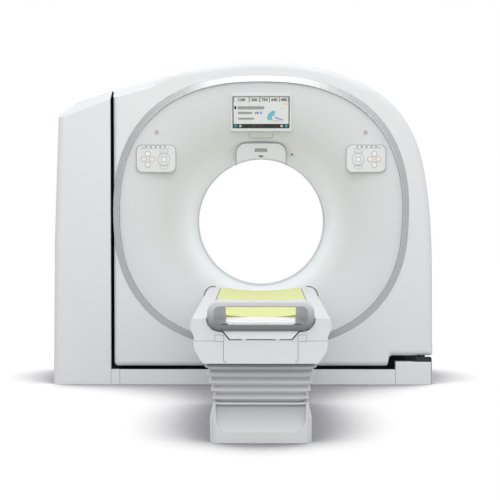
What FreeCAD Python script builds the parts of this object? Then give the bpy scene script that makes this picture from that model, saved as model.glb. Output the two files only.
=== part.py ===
"""CT scanner: a tilting gantry between a wide column and a side stand, with a
patient table in front of it. Millimetres. X runs across the gantry, Y runs
along the bore from the table's foot end to the rear, Z is up. The origin is on
the floor, straight under the isocentre."""

import FreeCAD, Part
import math
import os

Vector = FreeCAD.Vector

# ---- gantry: overall sizes ----
ISO_HEIGHT = 920.0              # bore axis and tilt axis above the floor
FRONT_Y = -430.0                # front face of the gantry
REAR_Y = 400.0                  # rear face of the gantry
COVER_WALL = 5.0                # moulded covers
SEAT_GAP = 0.3                  # between a piece and what carries it
BORE_RADIUS = 375.0             # patient opening
BORE_HALF = 140.0               # half length of the straight bore tunnel
SCAN_WINDOW_HALF = 30.0         # half width of the window over the beam
LINER_WALL = 6.0
WINDOW_THICK = 2.5

# ---- gantry: outline of the tilting part, seen from the front ----
TILT_LEFT_X = -842.0
TILT_BOTTOM_Z = 102.0
STEP_X = 722.0                  # the lower edge steps up over the right foot
STEP_RUN = 11.0
STEP_Z = 164.0
STEP_ROUND = 12.0               # outer corner of the step
STEP_HOLLOW = 24.0              # inner corner of the step
SHOULDER_LEFT_Z = ISO_HEIGHT + 763.0   # ridge of the left shoulder at its outer end
SHOULDER_FRONT_Z = ISO_HEIGHT + 707.0  # front edge of the same shoulder
SHOULDER_DEPTH = 110.0          # from the front edge back to the ridge
LOWER_CORNER = 30.0
TOE_ROUND = 14.0
# right side and arch, from the lower right corner round to the left shoulder
ARCH = [(982.0, STEP_Z + 15.0), (978.0, 560.0), (964.0, ISO_HEIGHT + 40.0), (937.0, ISO_HEIGHT + 260.0),
        (878.0, ISO_HEIGHT + 480.0), (728.0, ISO_HEIGHT + 695.0), (500.0, ISO_HEIGHT + 832.0),
        (250.0, ISO_HEIGHT + 899.0), (0.0, ISO_HEIGHT + 918.0), (-250.0, ISO_HEIGHT + 899.0),
        (-440.0, ISO_HEIGHT + 868.5)]
SHOULDER_ARCH = [(-609.0, ISO_HEIGHT + 774.0), (-554.0, ISO_HEIGHT + 812.0), (-492.0, ISO_HEIGHT + 845.0),
                 (-449.0, ISO_HEIGHT + 866.0)]
EDGE_ROUND = 34.0               # front and rear edges of the arch
PANEL_DEPTH = 150.0             # how far the front and rear covers reach along Y
SIDE_TOP_Z = ISO_HEIGHT + 180.0 # seam between the left side cover and the arch cover
BOTTOM_TOP_Z = 230.0            # seam between the side cover and the bottom cover

# ---- gantry: front opening, ring and funnel ----
RING_HALF_W = 842.0
RING_HALF_H = 778.0
RING_POWER = 2.4
RING_CENTRE_Z = ISO_HEIGHT + 62.0
RING_BAND = 38.0
RING_PROUD = 9.0
RING_SEAT = 8.0                 # how far the ring laps over the edge of the opening
RING_LIP = 9.0                  # depth of the lip that stands in the opening
# funnel sections: depth behind the face, half width, half height, centre above the isocentre, power
FUNNEL = [(9.3, 804.0, 740.0, 62.0, 2.4), (20.0, 690.0, 648.0, 48.0, 2.3), (54.0, 560.0, 541.0, 28.0, 2.15),
          (112.0, 468.0, 463.0, 11.0, 2.05), (190.0, 406.0, 405.0, 2.0, 2.0), (290.0, 375.0, 375.0, 0.0, 2.0)]
FUNNEL_WALL = 4.0
REAR_FUNNEL = [(0.0, 620.0, 600.0, 15.0, 2.1), (60.0, 500.0, 492.0, 8.0, 2.05),
               (140.0, 415.0, 414.0, 2.0, 2.0), (260.0, 375.0, 375.0, 0.0, 2.0)]

# ---- gantry: what sits on the funnel ----
DISPLAY_W = 350.0
DISPLAY_H = 219.0
DISPLAY_Z = ISO_HEIGHT + 631.0
DISPLAY_TILT = 12.0             # degrees, leaning with the funnel
DISPLAY_DEPTH = 22.0            # centre of its front face behind the front plane
DISPLAY_THICK = 46.0
SCREEN_W = 326.0
SCREEN_H = 185.0
SCREEN_SINK = 2.0
HATCH_W = 137.0
HATCH_H = 29.0
HATCH_Z = ISO_HEIGHT + 501.0
HATCH_SINK = 2.0
LASER_W = 283.0
LASER_TOP_Z = ISO_HEIGHT + 458.0
LASER_DEPTH = 105.0
LASER_ROUND = 54.0
LASER_CROWN = 3.0               # rise of the top edge at its middle
LASER_SLOT_W = 79.0
LASER_SLOT_H = 22.0
LASER_SLOT_Z = ISO_HEIGHT + 419.0
SENSOR_X = 594.0
SENSOR_Z = ISO_HEIGHT + 517.0
SENSOR_RADIUS = 12.0
SENSOR_PROUD = 4.0
POD_X = 597.0
POD_Z = ISO_HEIGHT + 368.0
POD_W = 229.0
POD_H = 160.0
POD_ROUND = 44.0
POD_DEPTH = 2.0                 # face of the pod behind the front plane
POD_THICK = 60.0
BUTTON_RADIUS = 12.0
BUTTON_PROUD = 2.5
BUTTON_DEEP = 5.0
BUTTON_TRAVEL = 1.5
BUTTON_GAP = 0.4
BUTTON_BEVEL = 1.0
ROUND_BUTTONS = {"top": (47.0, 27.0), "outer": (70.0, -4.0), "inner": (22.0, -4.0), "low": (47.0, -35.5)}
NAVIGATION_AT = (-45.0, -4.5)           # from the pod's centre, outwards and up
NAVIGATION_RADIUS = 33.0
NAVIGATION_HOLE = 12.5
CENTRE_KEY_RADIUS = 11.5
SMALL_KEY_W = 17.0
SMALL_KEY_H = 14.0
SMALL_KEYS = [(-35.0, 41.5), (-55.0, 41.5), (-35.0, -50.5), (-55.0, -50.5)]
LAMP_XS = [-63.0, -38.0, -11.0, 16.0, 43.0, 70.0]
LAMP_Z = 66.0
LAMP_W = 12.0
LAMP_H = 5.0

# ---- gantry: column, stands and base ----
COLUMN_RIGHT_X = -855.5
COLUMN_LEFT = [(0.0, -1189.0), (ISO_HEIGHT - 100.0, -1180.0), (ISO_HEIGHT + 800.0, -1148.0)]  # height, outer side
COLUMN_FRONT_EDGE = [(-1200.0, ISO_HEIGHT + 576.0), (-840.0, ISO_HEIGHT + 710.5)]   # top of the front face
COLUMN_RIDGE = [(-1200.0, ISO_HEIGHT + 580.0), (-1060.0, ISO_HEIGHT + 690.0), (-840.0, ISO_HEIGHT + 763.5)]
COLUMN_CORNER = 40.0
COLUMN_TOE_X = -807.0           # the column cover reaches under the tilting part
BASE_TOP_Z = 86.0
FOOT_LEFT_X = 768.0
FOOT_RIGHT_X = 979.0
FOOT_TOP_Z = 129.0
FOOT_COVER_DEEP = 62.0
FOOT_ROUND = 22.0
BASE_COVER_DEEP = 26.0
BEAM_Y = 340.0                  # centre of the front and rear base beams
BEAM_W = 56.0
BEAM_TOP_Z = 56.0
BEAM_WALL = 6.0
BASE_X = (-1150.0, 950.0)       # ends of the base beams
SIDE_PLATE_Z = 40.0             # top of the base's side plates
SIDE_PLATE_LEFT_X = -866.0
SIDE_PLATE_RIGHT_X = 850.0
ANCHOR_X = 918.0                # anchor holes, from the bore axis
ANCHOR_Y = 280.0
ANCHOR_RADIUS = 9.0
PIVOT_RADIUS = 70.0
PIVOT_GAP = 0.3
LEFT_STAND_X = (-945.0, -885.0)
RIGHT_STAND_X = (872.0, 928.0)
SLOT_Y = (-398.0, 368.0)        # slot under the tilting part for the right stand
SLOT_CLEAR = 8.0
STAND_HEAD_RADIUS = 140.0
BEARING_RADIUS = 105.0
STAND_FOOT_HALF = 240.0
RIGHT_WAIST_HALF = 95.0
RIGHT_WAIST_Z = 150.0
RIGHT_FOOT_HALF = 150.0

# ---- gantry: inside the tilting part ----
FRAME_OUTER = 745.0
FRAME_INNER = 602.0
FRAME_Y = (122.0, 232.0)
FRAME_FLANGE = 22.0
FRAME_WEB = 30.0
RACE_MID = 570.0                # where the races of the main bearing meet
RACE_THICK = 31.5
RACE_GAP = 0.3
RACE_Y = (126.0, 190.0)
ROTOR_INNER = 395.0
ROTOR_RIM = 720.0
ROTOR_PLATE_Y = (94.0, 114.0)
HUB_THICK = 14.0
SLIP_RING_Y = (196.0, 236.0)
SLIP_RING_INNER = 452.0
SLIP_RING_OUTER = 524.0
BELT_THICK = 5.0
BELT_WIDTH = 18.0
PULLEY_RADIUS = 50.0
PULLEY_AT = (-560.0, -560.0)    # from the isocentre
TUBE_RADIUS = 118.0
TUBE_AT = 560.0                 # focal spot above the isocentre
DETECTOR_AT = 490.0             # inner face below the isocentre
DETECTOR_HALF_ANGLE = 26.0

# ---- table ----
TABLE_NEAR_Y = -2680.0
TABLE_FAR_Y = -440.0
TABLE_TOP_Z = 555.0
TABLE_TOP_HALF = 298.5
TABLE_WIDE_HALF = 304.0
TABLE_WIDE_Z = 523.0
TABLE_WAIST_HALF = 285.0
TABLE_WAIST_Z = 478.0
TABLE_SPLIT_Z = 461.0
TABLE_LOW_HALF = 246.0
TABLE_LOW_Z = 364.0
TABLE_LOW_ROUND = 62.0
TABLE_WALL = 4.0
TABLE_FAR_ROUND = 60.0
TABLE_NEAR_ROUND = 14.0
LOW_COVER_LEVEL_Y = -1180.0     # the lower cover is level up to here
LOW_COVER_FAR_Y = -800.0        # and has risen to the thin far end here
END_TRAY = 15.0                 # thickness of the lower cover's far end
CRADLE_HALF = 225.0
CRADLE_EDGE_Z = 548.0
CRADLE_MIDDLE_Z = 526.0
CRADLE_WING_Z = 516.0
CRADLE_KEEL = [(162.0, 504.0), (131.0, 468.0)]
CRADLE_GAP = 4.0
MAT_HALF = 222.0
MAT_THICK = 11.0
MAT_NEAR_Y = -2350.0
HANDLE_W = 456.0
HANDLE_H = 130.0
HANDLE_Z = 569.5                # centre of the loop
HANDLE_ROUND = 54.0
HANDLE_FRONT_Y = -2700.0
HANDLE_BAR = 26.0
HANDLE_BAR_DEEP = 38.0
HANDLE_DEEP = 96.0
HANDLE_BACK_W = 296.0
RAIL_X = 192.0
RAIL_W = 26.0
CHASSIS_HALF = 205.0
CHASSIS_Z = (392.0, 456.0)
CHASSIS_PLATE = 5.7
PEDESTAL_Y = (-2530.0, -1220.0)
PEDESTAL_HALF = 223.0
PEDESTAL_TOP_HALF = 209.0
PEDESTAL_TOP_Z = 168.0
PEDESTAL_SHOULDER_Z = 112.0
PEDESTAL_ROUND = 40.0
PEDESTAL_WALL = 4.0
SCOOP_HALF = 196.0
SCOOP_LOW_Z = 47.0
SCOOP_DEEP = 46.0
SCOOP_ROUND = 62.0
BELLOWS_HALF_FOLDS = 9
BELLOWS_TOP_HALF = 249.0
BELLOWS_LOW_HALF = 207.0
BELLOWS_FOLD = 20.0
BELLOWS_WALL = 2.0
BELLOWS_TOP_Z = 352.0
PLATE_THICK = 8.0
TABLE_ANCHOR_X = 160.0
TABLE_ANCHOR_Y = 560.0
TABLE_ANCHOR_RADIUS = 7.0
STAGE_HALF = (118.0, 283.0)     # half width and half length of the outer lifting stage
STAGE_WALL = 14.0
STAGE_ROUND = 46.0
STAGE_TOPS = (258.0, 318.0)     # of the outer and the middle stage at the lowest height
STAGE_FEET = (10.0, 72.0, 124.0)
COLUMN_CENTRE_Y = -1875.0

NODES = {}


# ---- helpers ----
def in_xz(y):
    """Places outline points (x, z) in the plane at y."""
    return lambda a, b: Vector(a, y, b)


def in_xy(z):
    """Places outline points (x, y) in the plane at height z."""
    return lambda a, b: Vector(a, b, z)


def in_yz(x):
    """Places outline points (y, z) in the plane at x."""
    return lambda a, b: Vector(x, a, b)


def outline(corners, place):
    """Closed wire through corners (a, b) or (a, b, radius), each rounded by its radius."""
    points = [Vector(c[0], c[1], 0) for c in corners]
    radii = [c[2] if len(c) > 2 else 0.0 for c in corners]
    edges, starts, ends, arcs = [], [], [], []
    for i, point in enumerate(points):
        before = (points[i - 1] - point).normalize()
        after = (points[(i + 1) % len(points)] - point).normalize()
        half = before.getAngle(after) / 2
        if radii[i] < 1e-6:
            starts.append(point)
            ends.append(point)
            arcs.append(None)
            continue
        reach = radii[i] / math.tan(half)
        centre = point + (before + after).normalize() * (radii[i] / math.sin(half))
        starts.append(point + before * reach)
        ends.append(point + after * reach)
        arcs.append(centre + (point - centre).normalize() * radii[i])
    for i, middle in enumerate(arcs):
        if middle is not None:
            edges.append(Part.Arc(*[place(p.x, p.y) for p in (starts[i], middle, ends[i])]).toShape())
        follow = starts[(i + 1) % len(points)]
        if (follow - ends[i]).Length > 1e-6:
            edges.append(Part.makeLine(place(ends[i].x, ends[i].y), place(follow.x, follow.y)))
    return Part.Wire(edges)


def prism(corners, place, along):
    """Solid pushed from an outline along a vector."""
    return Part.Face(outline(corners, place)).extrude(along)


def rounded_box(half_a, half_b, radius, centre=(0.0, 0.0)):
    """Corners of a rounded rectangle."""
    a, b = centre
    return [(a - half_a, b - half_b, radius), (a + half_a, b - half_b, radius),
            (a + half_a, b + half_b, radius), (a - half_a, b + half_b, radius)]


def box(x, y, z):
    """Box from three (low, high) pairs."""
    return Part.makeBox(x[1] - x[0], y[1] - y[0], z[1] - z[0], Vector(x[0], y[0], z[0]))


def tube(outer, inner, y, centre=(0.0, ISO_HEIGHT)):
    """Ring or disc about an axis along Y, from y[0] to y[1]."""
    at = Vector(centre[0], y[0], centre[1])
    solid = Part.makeCylinder(outer, y[1] - y[0], at, Vector(0, 1, 0))
    if inner > 0:
        solid = solid.cut(Part.makeCylinder(inner, y[1] - y[0], at, Vector(0, 1, 0)))
    return solid


def shaft_x(radius, x, y=0.0, z=ISO_HEIGHT):
    """Cylinder along X from x[0] to x[1]."""
    return Part.makeCylinder(radius, x[1] - x[0], Vector(x[0], y, z), Vector(1, 0, 0))


def fuse(shapes):
    """One solid from several that touch or overlap."""
    return shapes[0].multiFuse(shapes[1:]).removeSplitter() if len(shapes) > 1 else shapes[0]


def keep(name, shape):
    """Files a finished piece under its node's name."""
    NODES[name] = shape


def superellipse(half_w, half_h, centre_z, power, y):
    """Closed smooth curve |x/w|^n + |z/h|^n = 1 in the plane at y."""
    points = []
    for i in range(24):
        turn = 2 * math.pi * i / 24
        c, s = math.cos(turn), math.sin(turn)
        size = (abs(c / half_w) ** power + abs(s / half_h) ** power) ** (-1 / power)
        points.append(Vector(size * c, y, centre_z + size * s))
    curve = Part.BSplineCurve()
    curve.interpolate(Points=points, PeriodicFlag=True)
    return Part.Wire(curve.toShape())


# ---- the tilting part's envelope ----
def shoulder_z(x):
    """Height of the left shoulder's ridge line."""
    slope = (ARCH[-1][1] - SHOULDER_LEFT_Z) / (ARCH[-1][0] - TILT_LEFT_X)
    return SHOULDER_LEFT_Z + slope * (x - TILT_LEFT_X)


def inset_points(points, inset):
    """Moves a run of outline points inwards, square to the run."""
    moved = []
    for i, (x, z) in enumerate(points):
        x0, z0 = points[max(i - 1, 0)]
        x1, z1 = points[min(i + 1, len(points) - 1)]
        length = math.hypot(x1 - x0, z1 - z0)
        moved.append((x - inset * (z1 - z0) / length, z + inset * (x1 - x0) / length))
    return moved


def envelope(inset):
    """Solid of the tilting part, drawn in by inset on every side."""
    arch = inset_points(ARCH, inset)
    if inset:
        arch[0] = (arch[0][0], arch[0][1] + 2 * inset)
    y0, y1 = FRONT_Y + inset, REAR_Y - inset
    left, low = TILT_LEFT_X + inset, TILT_BOTTOM_Z + inset
    # the inside starts above the toe's round, and is left square there
    step_x, step_z = STEP_X - inset, STEP_Z + (inset + TOE_ROUND if inset else 0.0)
    curve = Part.BSplineCurve()
    curve.interpolate([Vector(x, y0, z) for x, z in arch])
    first, last = Vector(arch[0][0], y0, arch[0][1]), Vector(arch[-1][0], y0, arch[-1][1])
    corner = Vector(left, y0, shoulder_z(TILT_LEFT_X) - inset)
    lower = max(LOWER_CORNER - inset, 4.0)
    round_off = lower * (1 - math.sqrt(0.5))
    edges = [curve.toShape(), Part.makeLine(last, corner),
             Part.makeLine(corner, Vector(left, y0, low + lower)),
             Part.Arc(Vector(left, y0, low + lower), Vector(left + round_off, y0, low + round_off),
                      Vector(left + lower, y0, low)).toShape()]
    run = [Vector(left + lower, y0, low), Vector(step_x, y0, low), Vector(step_x + STEP_RUN, y0, step_z)]
    if inset:
        run += [Vector(first.x, y0, step_z), first]
    else:
        run.append(Vector(first.x - TOE_ROUND, y0, step_z))
        share = 1 - math.sqrt(0.5)
        tip = Vector(first.x - TOE_ROUND * share, y0, step_z + (first.z - step_z) * share)
        edges.append(Part.Arc(run[-1], tip, first).toShape())
    edges += [Part.makeLine(a, b) for a, b in zip(run, run[1:])]
    solid = Part.Face(Part.Wire(Part.__sortEdges__(edges))).extrude(Vector(0, y1 - y0, 0))
    rounded = [e for e in solid.Edges
               if abs(e.BoundBox.YLength) < 0.01 and (e.BoundBox.XLength > 1000
                                                      or abs(e.BoundBox.ZMax - last.z) < 2)]
    solid = solid.makeFillet(max(EDGE_ROUND - inset, 5.0), rounded)
    for x, z, radius in ((step_x, low, STEP_ROUND - inset), (step_x + STEP_RUN, step_z, STEP_HOLLOW + inset)):
        corners = [e for e in solid.Edges if abs(e.CenterOfMass.x - x) < 0.1 and abs(e.CenterOfMass.z - z) < 0.1]
        solid = solid.makeFillet(radius, corners)
    return solid.cut(shoulder_tool(inset))


def shoulder_tool(inset):
    """What is cut away in front of the left shoulder's ridge."""
    far = TILT_LEFT_X - 20.0
    slope = (SHOULDER_ARCH[0][1] - SHOULDER_FRONT_Z) / (SHOULDER_ARCH[0][0] - TILT_LEFT_X)
    front = [(far, SHOULDER_FRONT_Z + slope * (far - TILT_LEFT_X))] + SHOULDER_ARCH
    ridge = [(x, shoulder_z(x) + 0.5) for x, z in front]
    lid = [(SHOULDER_ARCH[-1][0], 1900.0), (far, 1900.0)]
    # the sloped face goes on a little in front of the front plane
    ahead = [(x, z - 0.1 * (r[1] - z)) for (x, z), r in zip(front, ridge)]
    wires = [outline([(x, z - inset) for x, z in points] + lid, in_xz(y + inset))
             for points, y in ((ahead, FRONT_Y - 0.1 * SHOULDER_DEPTH), (ridge, FRONT_Y + SHOULDER_DEPTH))]
    return Part.makeLoft(wires, True, True)


def funnel_cavity(sections, face_y, direction, grow):
    """Space inside a funnel, from its rim to the bore, wider by grow."""
    wires = []
    for i, (d, w, h, z, n) in enumerate(sections):
        deeper = grow if i else 0.0
        wires.append(superellipse(w + grow, h + grow, ISO_HEIGHT + z, n, face_y + direction * (d + deeper)))
    return Part.makeLoft(wires, True, False)


def funnel_seat(grow):
    """Space in and in front of the front funnel, for what sits on its surface."""
    d, w, h, z, n = FUNNEL[0]
    rim = Part.Face(superellipse(w + grow, h + grow, ISO_HEIGHT + z, n, FRONT_Y + d)).extrude(Vector(0, -60, 0))
    return rim.fuse(funnel_cavity(FUNNEL, FRONT_Y, 1, grow)).removeSplitter()


# ---- gantry covers ----
def gantry_covers():
    outer, inner = envelope(0.0), envelope(COVER_WALL)
    shell = outer.cut(inner)
    # the right stand swings in this slot as the gantry tilts
    slot_x = (RIGHT_STAND_X[0] - SLOT_CLEAR, RIGHT_STAND_X[1] + SLOT_CLEAR)
    shell = shell.cut(box(slot_x, SLOT_Y, (0.0, STEP_Z + TOE_ROUND + 2 * COVER_WALL)))
    wide = (-2000.0, 2000.0)
    split_front, split_rear = FRONT_Y + PANEL_DEPTH, REAR_Y - PANEL_DEPTH
    middle = (split_front + SEAT_GAP, split_rear - SEAT_GAP)
    front = shell.common(box(wide, (-900.0, split_front), (0.0, 2000.0)))
    opening = Part.Face(superellipse(RING_HALF_W - RING_BAND + RING_SEAT, RING_HALF_H - RING_BAND + RING_SEAT,
                                     RING_CENTRE_Z, RING_POWER, FRONT_Y - 20)).extrude(Vector(0, 60, 0))
    keep("front_cover", front.cut(opening))
    rear = shell.common(box(wide, (split_rear, 900.0), (0.0, 2000.0)))
    d, w, h, z, n = REAR_FUNNEL[0]
    seat = FUNNEL_WALL + SEAT_GAP
    rear_hole = Part.Face(superellipse(w + seat, h + seat, ISO_HEIGHT + z, n, REAR_Y - 40))
    rear_hole = rear_hole.extrude(Vector(0, 80, 0))
    keep("rear_cover", rear.cut(rear_hole))
    right = box((RIGHT_STAND_X[0] - SLOT_CLEAR + SEAT_GAP, 2000.0), middle, (0.0, 2000.0))
    over = box(wide, middle, (SIDE_TOP_Z + SEAT_GAP, 2000.0))
    keep("arch_cover", shell.common(over.fuse(right)))
    side = shell.common(box((-1000.0, 0.0), middle, (BOTTOM_TOP_Z + SEAT_GAP, SIDE_TOP_Z)))
    keep("left_side_cover", side.cut(shaft_x(PIVOT_RADIUS + 8.0, (-900.0, -800.0))))
    keep("bottom_cover", shell.common(box((-2000.0, RIGHT_STAND_X[0] - SLOT_CLEAR), middle, (0.0, BOTTOM_TOP_Z))))


def ring_and_funnels():
    def band(half_w, half_h, y):
        return superellipse(half_w, half_h, RING_CENTRE_Z, RING_POWER, y)

    outer_w, outer_h = RING_HALF_W - SEAT_GAP, RING_HALF_H - SEAT_GAP
    inner_w, inner_h = RING_HALF_W - RING_BAND, RING_HALF_H - RING_BAND
    low, crown = FRONT_Y - SEAT_GAP, FRONT_Y - RING_PROUD
    end = FRONT_Y + RING_LIP
    body = Part.makeLoft([band(outer_w, outer_h, low), band(outer_w - 1, outer_h - 1, low - 1.5),
                          band(inner_w + 5, inner_h + 5, crown)], True, True)
    hole = Part.makeLoft([band(inner_w, inner_h, low), band(inner_w + 3, inner_h + 3, crown)], True, True)
    lap_w, lap_h = inner_w + RING_SEAT - SEAT_GAP, inner_h + RING_SEAT - SEAT_GAP
    lip = Part.Face(band(lap_w, lap_h, low)).extrude(Vector(0, end - low, 0))
    lip = lip.cut(Part.Face(band(inner_w, inner_h, low - 1)).extrude(Vector(0, end - low + 2, 0)))
    keep("ring_trim", fuse([body.cut(hole), lip]))

    wall = funnel_cavity(FUNNEL, FRONT_Y, 1, FUNNEL_WALL)
    space = funnel_cavity(FUNNEL, FRONT_Y, 1, 0.0)
    trim = box((-900.0, 900.0), (FRONT_Y, -BORE_HALF - SEAT_GAP), (0.0, 1900.0))
    bore = tube(BORE_RADIUS, 0, (FRONT_Y, REAR_Y + 50))
    hatch = prism(rounded_box(HATCH_W / 2, HATCH_H / 2, 13.0, (0.0, HATCH_Z)), in_xz(FRONT_Y), Vector(0, 200, 0))
    recess = hatch.common(funnel_cavity(FUNNEL, FRONT_Y, 1, HATCH_SINK))
    keep("front_funnel", wall.cut(space).common(trim).cut(bore).cut(recess))
    rear_wall = funnel_cavity(REAR_FUNNEL, REAR_Y, -1, FUNNEL_WALL)
    rear_space = funnel_cavity(REAR_FUNNEL, REAR_Y, -1, 0.0)
    rear_trim = box((-900.0, 900.0), (BORE_HALF + SEAT_GAP, REAR_Y), (0.0, 1900.0))
    keep("rear_funnel", rear_wall.cut(rear_space).common(rear_trim).cut(bore))
    liner = tube(BORE_RADIUS + LINER_WALL, BORE_RADIUS, (-BORE_HALF, BORE_HALF))
    groove = tube(BORE_RADIUS + WINDOW_THICK + SEAT_GAP, 0, (-SCAN_WINDOW_HALF, SCAN_WINDOW_HALF))
    keep("bore_liner", liner.cut(groove))
    keep("scan_window", tube(BORE_RADIUS + WINDOW_THICK, BORE_RADIUS + 0.5,
                             (-SCAN_WINDOW_HALF + SEAT_GAP, SCAN_WINDOW_HALF - SEAT_GAP)))


# ---- what sits on the funnel ----
def display():
    lean = FreeCAD.Placement(Vector(0, FRONT_Y + DISPLAY_DEPTH, DISPLAY_Z),
                             FreeCAD.Rotation(Vector(1, 0, 0), DISPLAY_TILT))
    case = prism(rounded_box(DISPLAY_W / 2, DISPLAY_H / 2, 10.0), in_xz(0), Vector(0, DISPLAY_THICK, 0))
    front = [e for e in case.Edges if abs(e.CenterOfMass.y) < 0.01]
    case = case.makeFillet(4.0, front)
    window = prism(rounded_box(SCREEN_W / 2, SCREEN_H / 2, 4.0), in_xz(-1), Vector(0, 9.0, 0))
    case = case.cut(window)
    case.Placement = lean
    screen = prism(rounded_box(SCREEN_W / 2 - SEAT_GAP, SCREEN_H / 2 - SEAT_GAP, 3.7), in_xz(SCREEN_SINK),
                   Vector(0, 8.0 - SCREEN_SINK, 0))
    screen.Placement = lean
    keep("display_bezel", case.common(funnel_seat(-SEAT_GAP)))
    keep("display_screen", screen.common(funnel_seat(-SEAT_GAP)))


def laser_unit():
    seat = funnel_seat(-SEAT_GAP)
    y0 = FRONT_Y + LASER_DEPTH
    corners = [(-LASER_W / 2, ISO_HEIGHT), (LASER_W / 2, ISO_HEIGHT),
               (LASER_W / 2, LASER_TOP_Z - LASER_CROWN, LASER_ROUND), (0.0, LASER_TOP_Z, 1200.0),
               (-LASER_W / 2, LASER_TOP_Z - LASER_CROWN, LASER_ROUND)]
    block = prism(corners, in_xz(y0), Vector(0, -BORE_HALF - SEAT_GAP - y0, 0))
    block = block.cut(tube(BORE_RADIUS - 1.0, 0, (y0 - 5, 0))).common(seat)
    half_w, half_h = LASER_SLOT_W / 2, LASER_SLOT_H / 2
    window = [(-half_w, LASER_SLOT_Z - half_h, 5), (half_w, LASER_SLOT_Z - half_h, 5),
              (half_w - 5, LASER_SLOT_Z + half_h, 5), (5 - half_w, LASER_SLOT_Z + half_h, 5)]
    keep("laser_unit_cover", block.cut(prism(window, in_xz(y0 - 1), Vector(0, 4, 0))))
    sensors = []
    for side in (-1, 1):
        rod = tube(SENSOR_RADIUS, 0, (FRONT_Y, FRONT_Y + 60), (side * SENSOR_X, SENSOR_Z))
        sensors.append(rod.common(seat).cut(funnel_seat(-SENSOR_PROUD)))
    keep("motion_sensors", Part.makeCompound(sensors))


def control_pod(side, name):
    face_y = FRONT_Y + POD_DEPTH

    def place(out, up):
        return side * (POD_X + out), POD_Z + up

    plate = prism(rounded_box(POD_W / 2, POD_H / 2, POD_ROUND, place(0.0, 0.0)), in_xz(face_y), Vector(0, POD_THICK, 0))
    plate = plate.makeFillet(5.0, [e for e in plate.Edges if abs(e.CenterOfMass.y - face_y) < 0.01])
    plate = plate.common(funnel_seat(-SEAT_GAP))
    pocket = (face_y - 1, face_y + BUTTON_DEEP + BUTTON_TRAVEL + BUTTON_GAP)
    buttons = {label: (place(*at), BUTTON_RADIUS) for label, at in ROUND_BUTTONS.items()}
    buttons["centre"] = (place(*NAVIGATION_AT), CENTRE_KEY_RADIUS)
    for label, (at, radius) in buttons.items():
        plate = plate.cut(tube(radius + BUTTON_GAP, 0, pocket, at))
        button = tube(radius, 0, (face_y - BUTTON_PROUD, face_y + BUTTON_DEEP), at)
        rim = [e for e in button.Edges if abs(e.CenterOfMass.y - face_y + BUTTON_PROUD) < 0.01]
        keep(f"{name}_button_{label}", button.makeChamfer(BUTTON_BEVEL, rim))
    at = place(*NAVIGATION_AT)
    raised = [tube(NAVIGATION_RADIUS, NAVIGATION_HOLE, (face_y - 1.5, face_y + 1.0), at)]
    for key in SMALL_KEYS:
        raised.append(prism(rounded_box(SMALL_KEY_W / 2, SMALL_KEY_H / 2, 4.0, place(*key)), in_xz(face_y - 1.5),
                            Vector(0, 2.5, 0)))
    for out in LAMP_XS:
        raised.append(prism(rounded_box(LAMP_W / 2, LAMP_H / 2, 2.0, place(out, LAMP_Z)), in_xz(face_y - 0.8),
                            Vector(0, 1.8, 0)))
    keep(name, fuse([plate] + raised))


# ---- column, stands and base ----
def column_envelope(inset):
    """Solid of the left column, drawn in by inset."""
    wires = []
    for z, x in COLUMN_LEFT:
        left, right = x + inset, COLUMN_RIGHT_X - inset
        front, rear = FRONT_Y + inset, REAR_Y - inset
        corner = COLUMN_CORNER - inset
        wires.append(outline([(left, front, corner), (right, front, 8.0), (right, rear, 8.0),
                              (left, rear, corner)], in_xy(z)))
    solid = Part.makeLoft(wires, True, True)
    lid = [(-800.0, 1900.0), (-1300.0, 1900.0)]
    ridge = [(x, z - inset) for x, z in COLUMN_RIDGE]
    tool = prism(ridge + lid, in_xz(FRONT_Y - 50), Vector(0, 1000, 0))
    front = [(x, z - inset) for x, z in COLUMN_FRONT_EDGE]
    back = [(x, z - inset) for x, z in (COLUMN_RIDGE[0], COLUMN_RIDGE[-1])]
    ends = [(COLUMN_RIDGE[0][0], COLUMN_RIDGE[1][1] - 60.0), (COLUMN_RIDGE[-1][0], COLUMN_RIDGE[-1][1])]
    ends = [(x, z - inset) for x, z in ends]
    ahead = [(x, z - 0.1 * (r[1] - z)) for (x, z), r in zip(front, ends)]
    bevel = Part.makeLoft([outline(points + lid, in_xz(y + inset)) for points, y in
                           ((ahead, FRONT_Y - 0.1 * SHOULDER_DEPTH), (ends, FRONT_Y + SHOULDER_DEPTH))], True, True)
    return solid.cut(tool).cut(bevel)


def column():
    shell = column_envelope(0.0).cut(column_envelope(COVER_WALL))
    shell = shell.cut(shaft_x(PIVOT_RADIUS + 8.0, (-900.0, -800.0)))
    wide = (-2000.0, 2000.0)
    reach = BEAM_Y + BEAM_W / 2 + SEAT_GAP
    open_floor = box((BASE_X[0] - SEAT_GAP, -850.0), (-reach, reach), (-1.0, BEAM_TOP_Z + SEAT_GAP))
    shell = shell.cut(open_floor)
    toe = box((COLUMN_RIGHT_X, COLUMN_TOE_X), (FRONT_Y, FRONT_Y + COVER_WALL), (0.0, BASE_TOP_Z))
    toe_top = box((COLUMN_RIGHT_X, COLUMN_TOE_X), (FRONT_Y, FRONT_Y + BASE_COVER_DEEP),
                  (BASE_TOP_Z - COVER_WALL, BASE_TOP_Z))
    front = fuse([shell.common(box(wide, (-900.0, 0.0), wide)), toe, toe_top])
    keep("column_front_cover", front)
    keep("column_rear_cover", shell.common(box(wide, (SEAT_GAP, 900.0), wide)))


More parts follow.
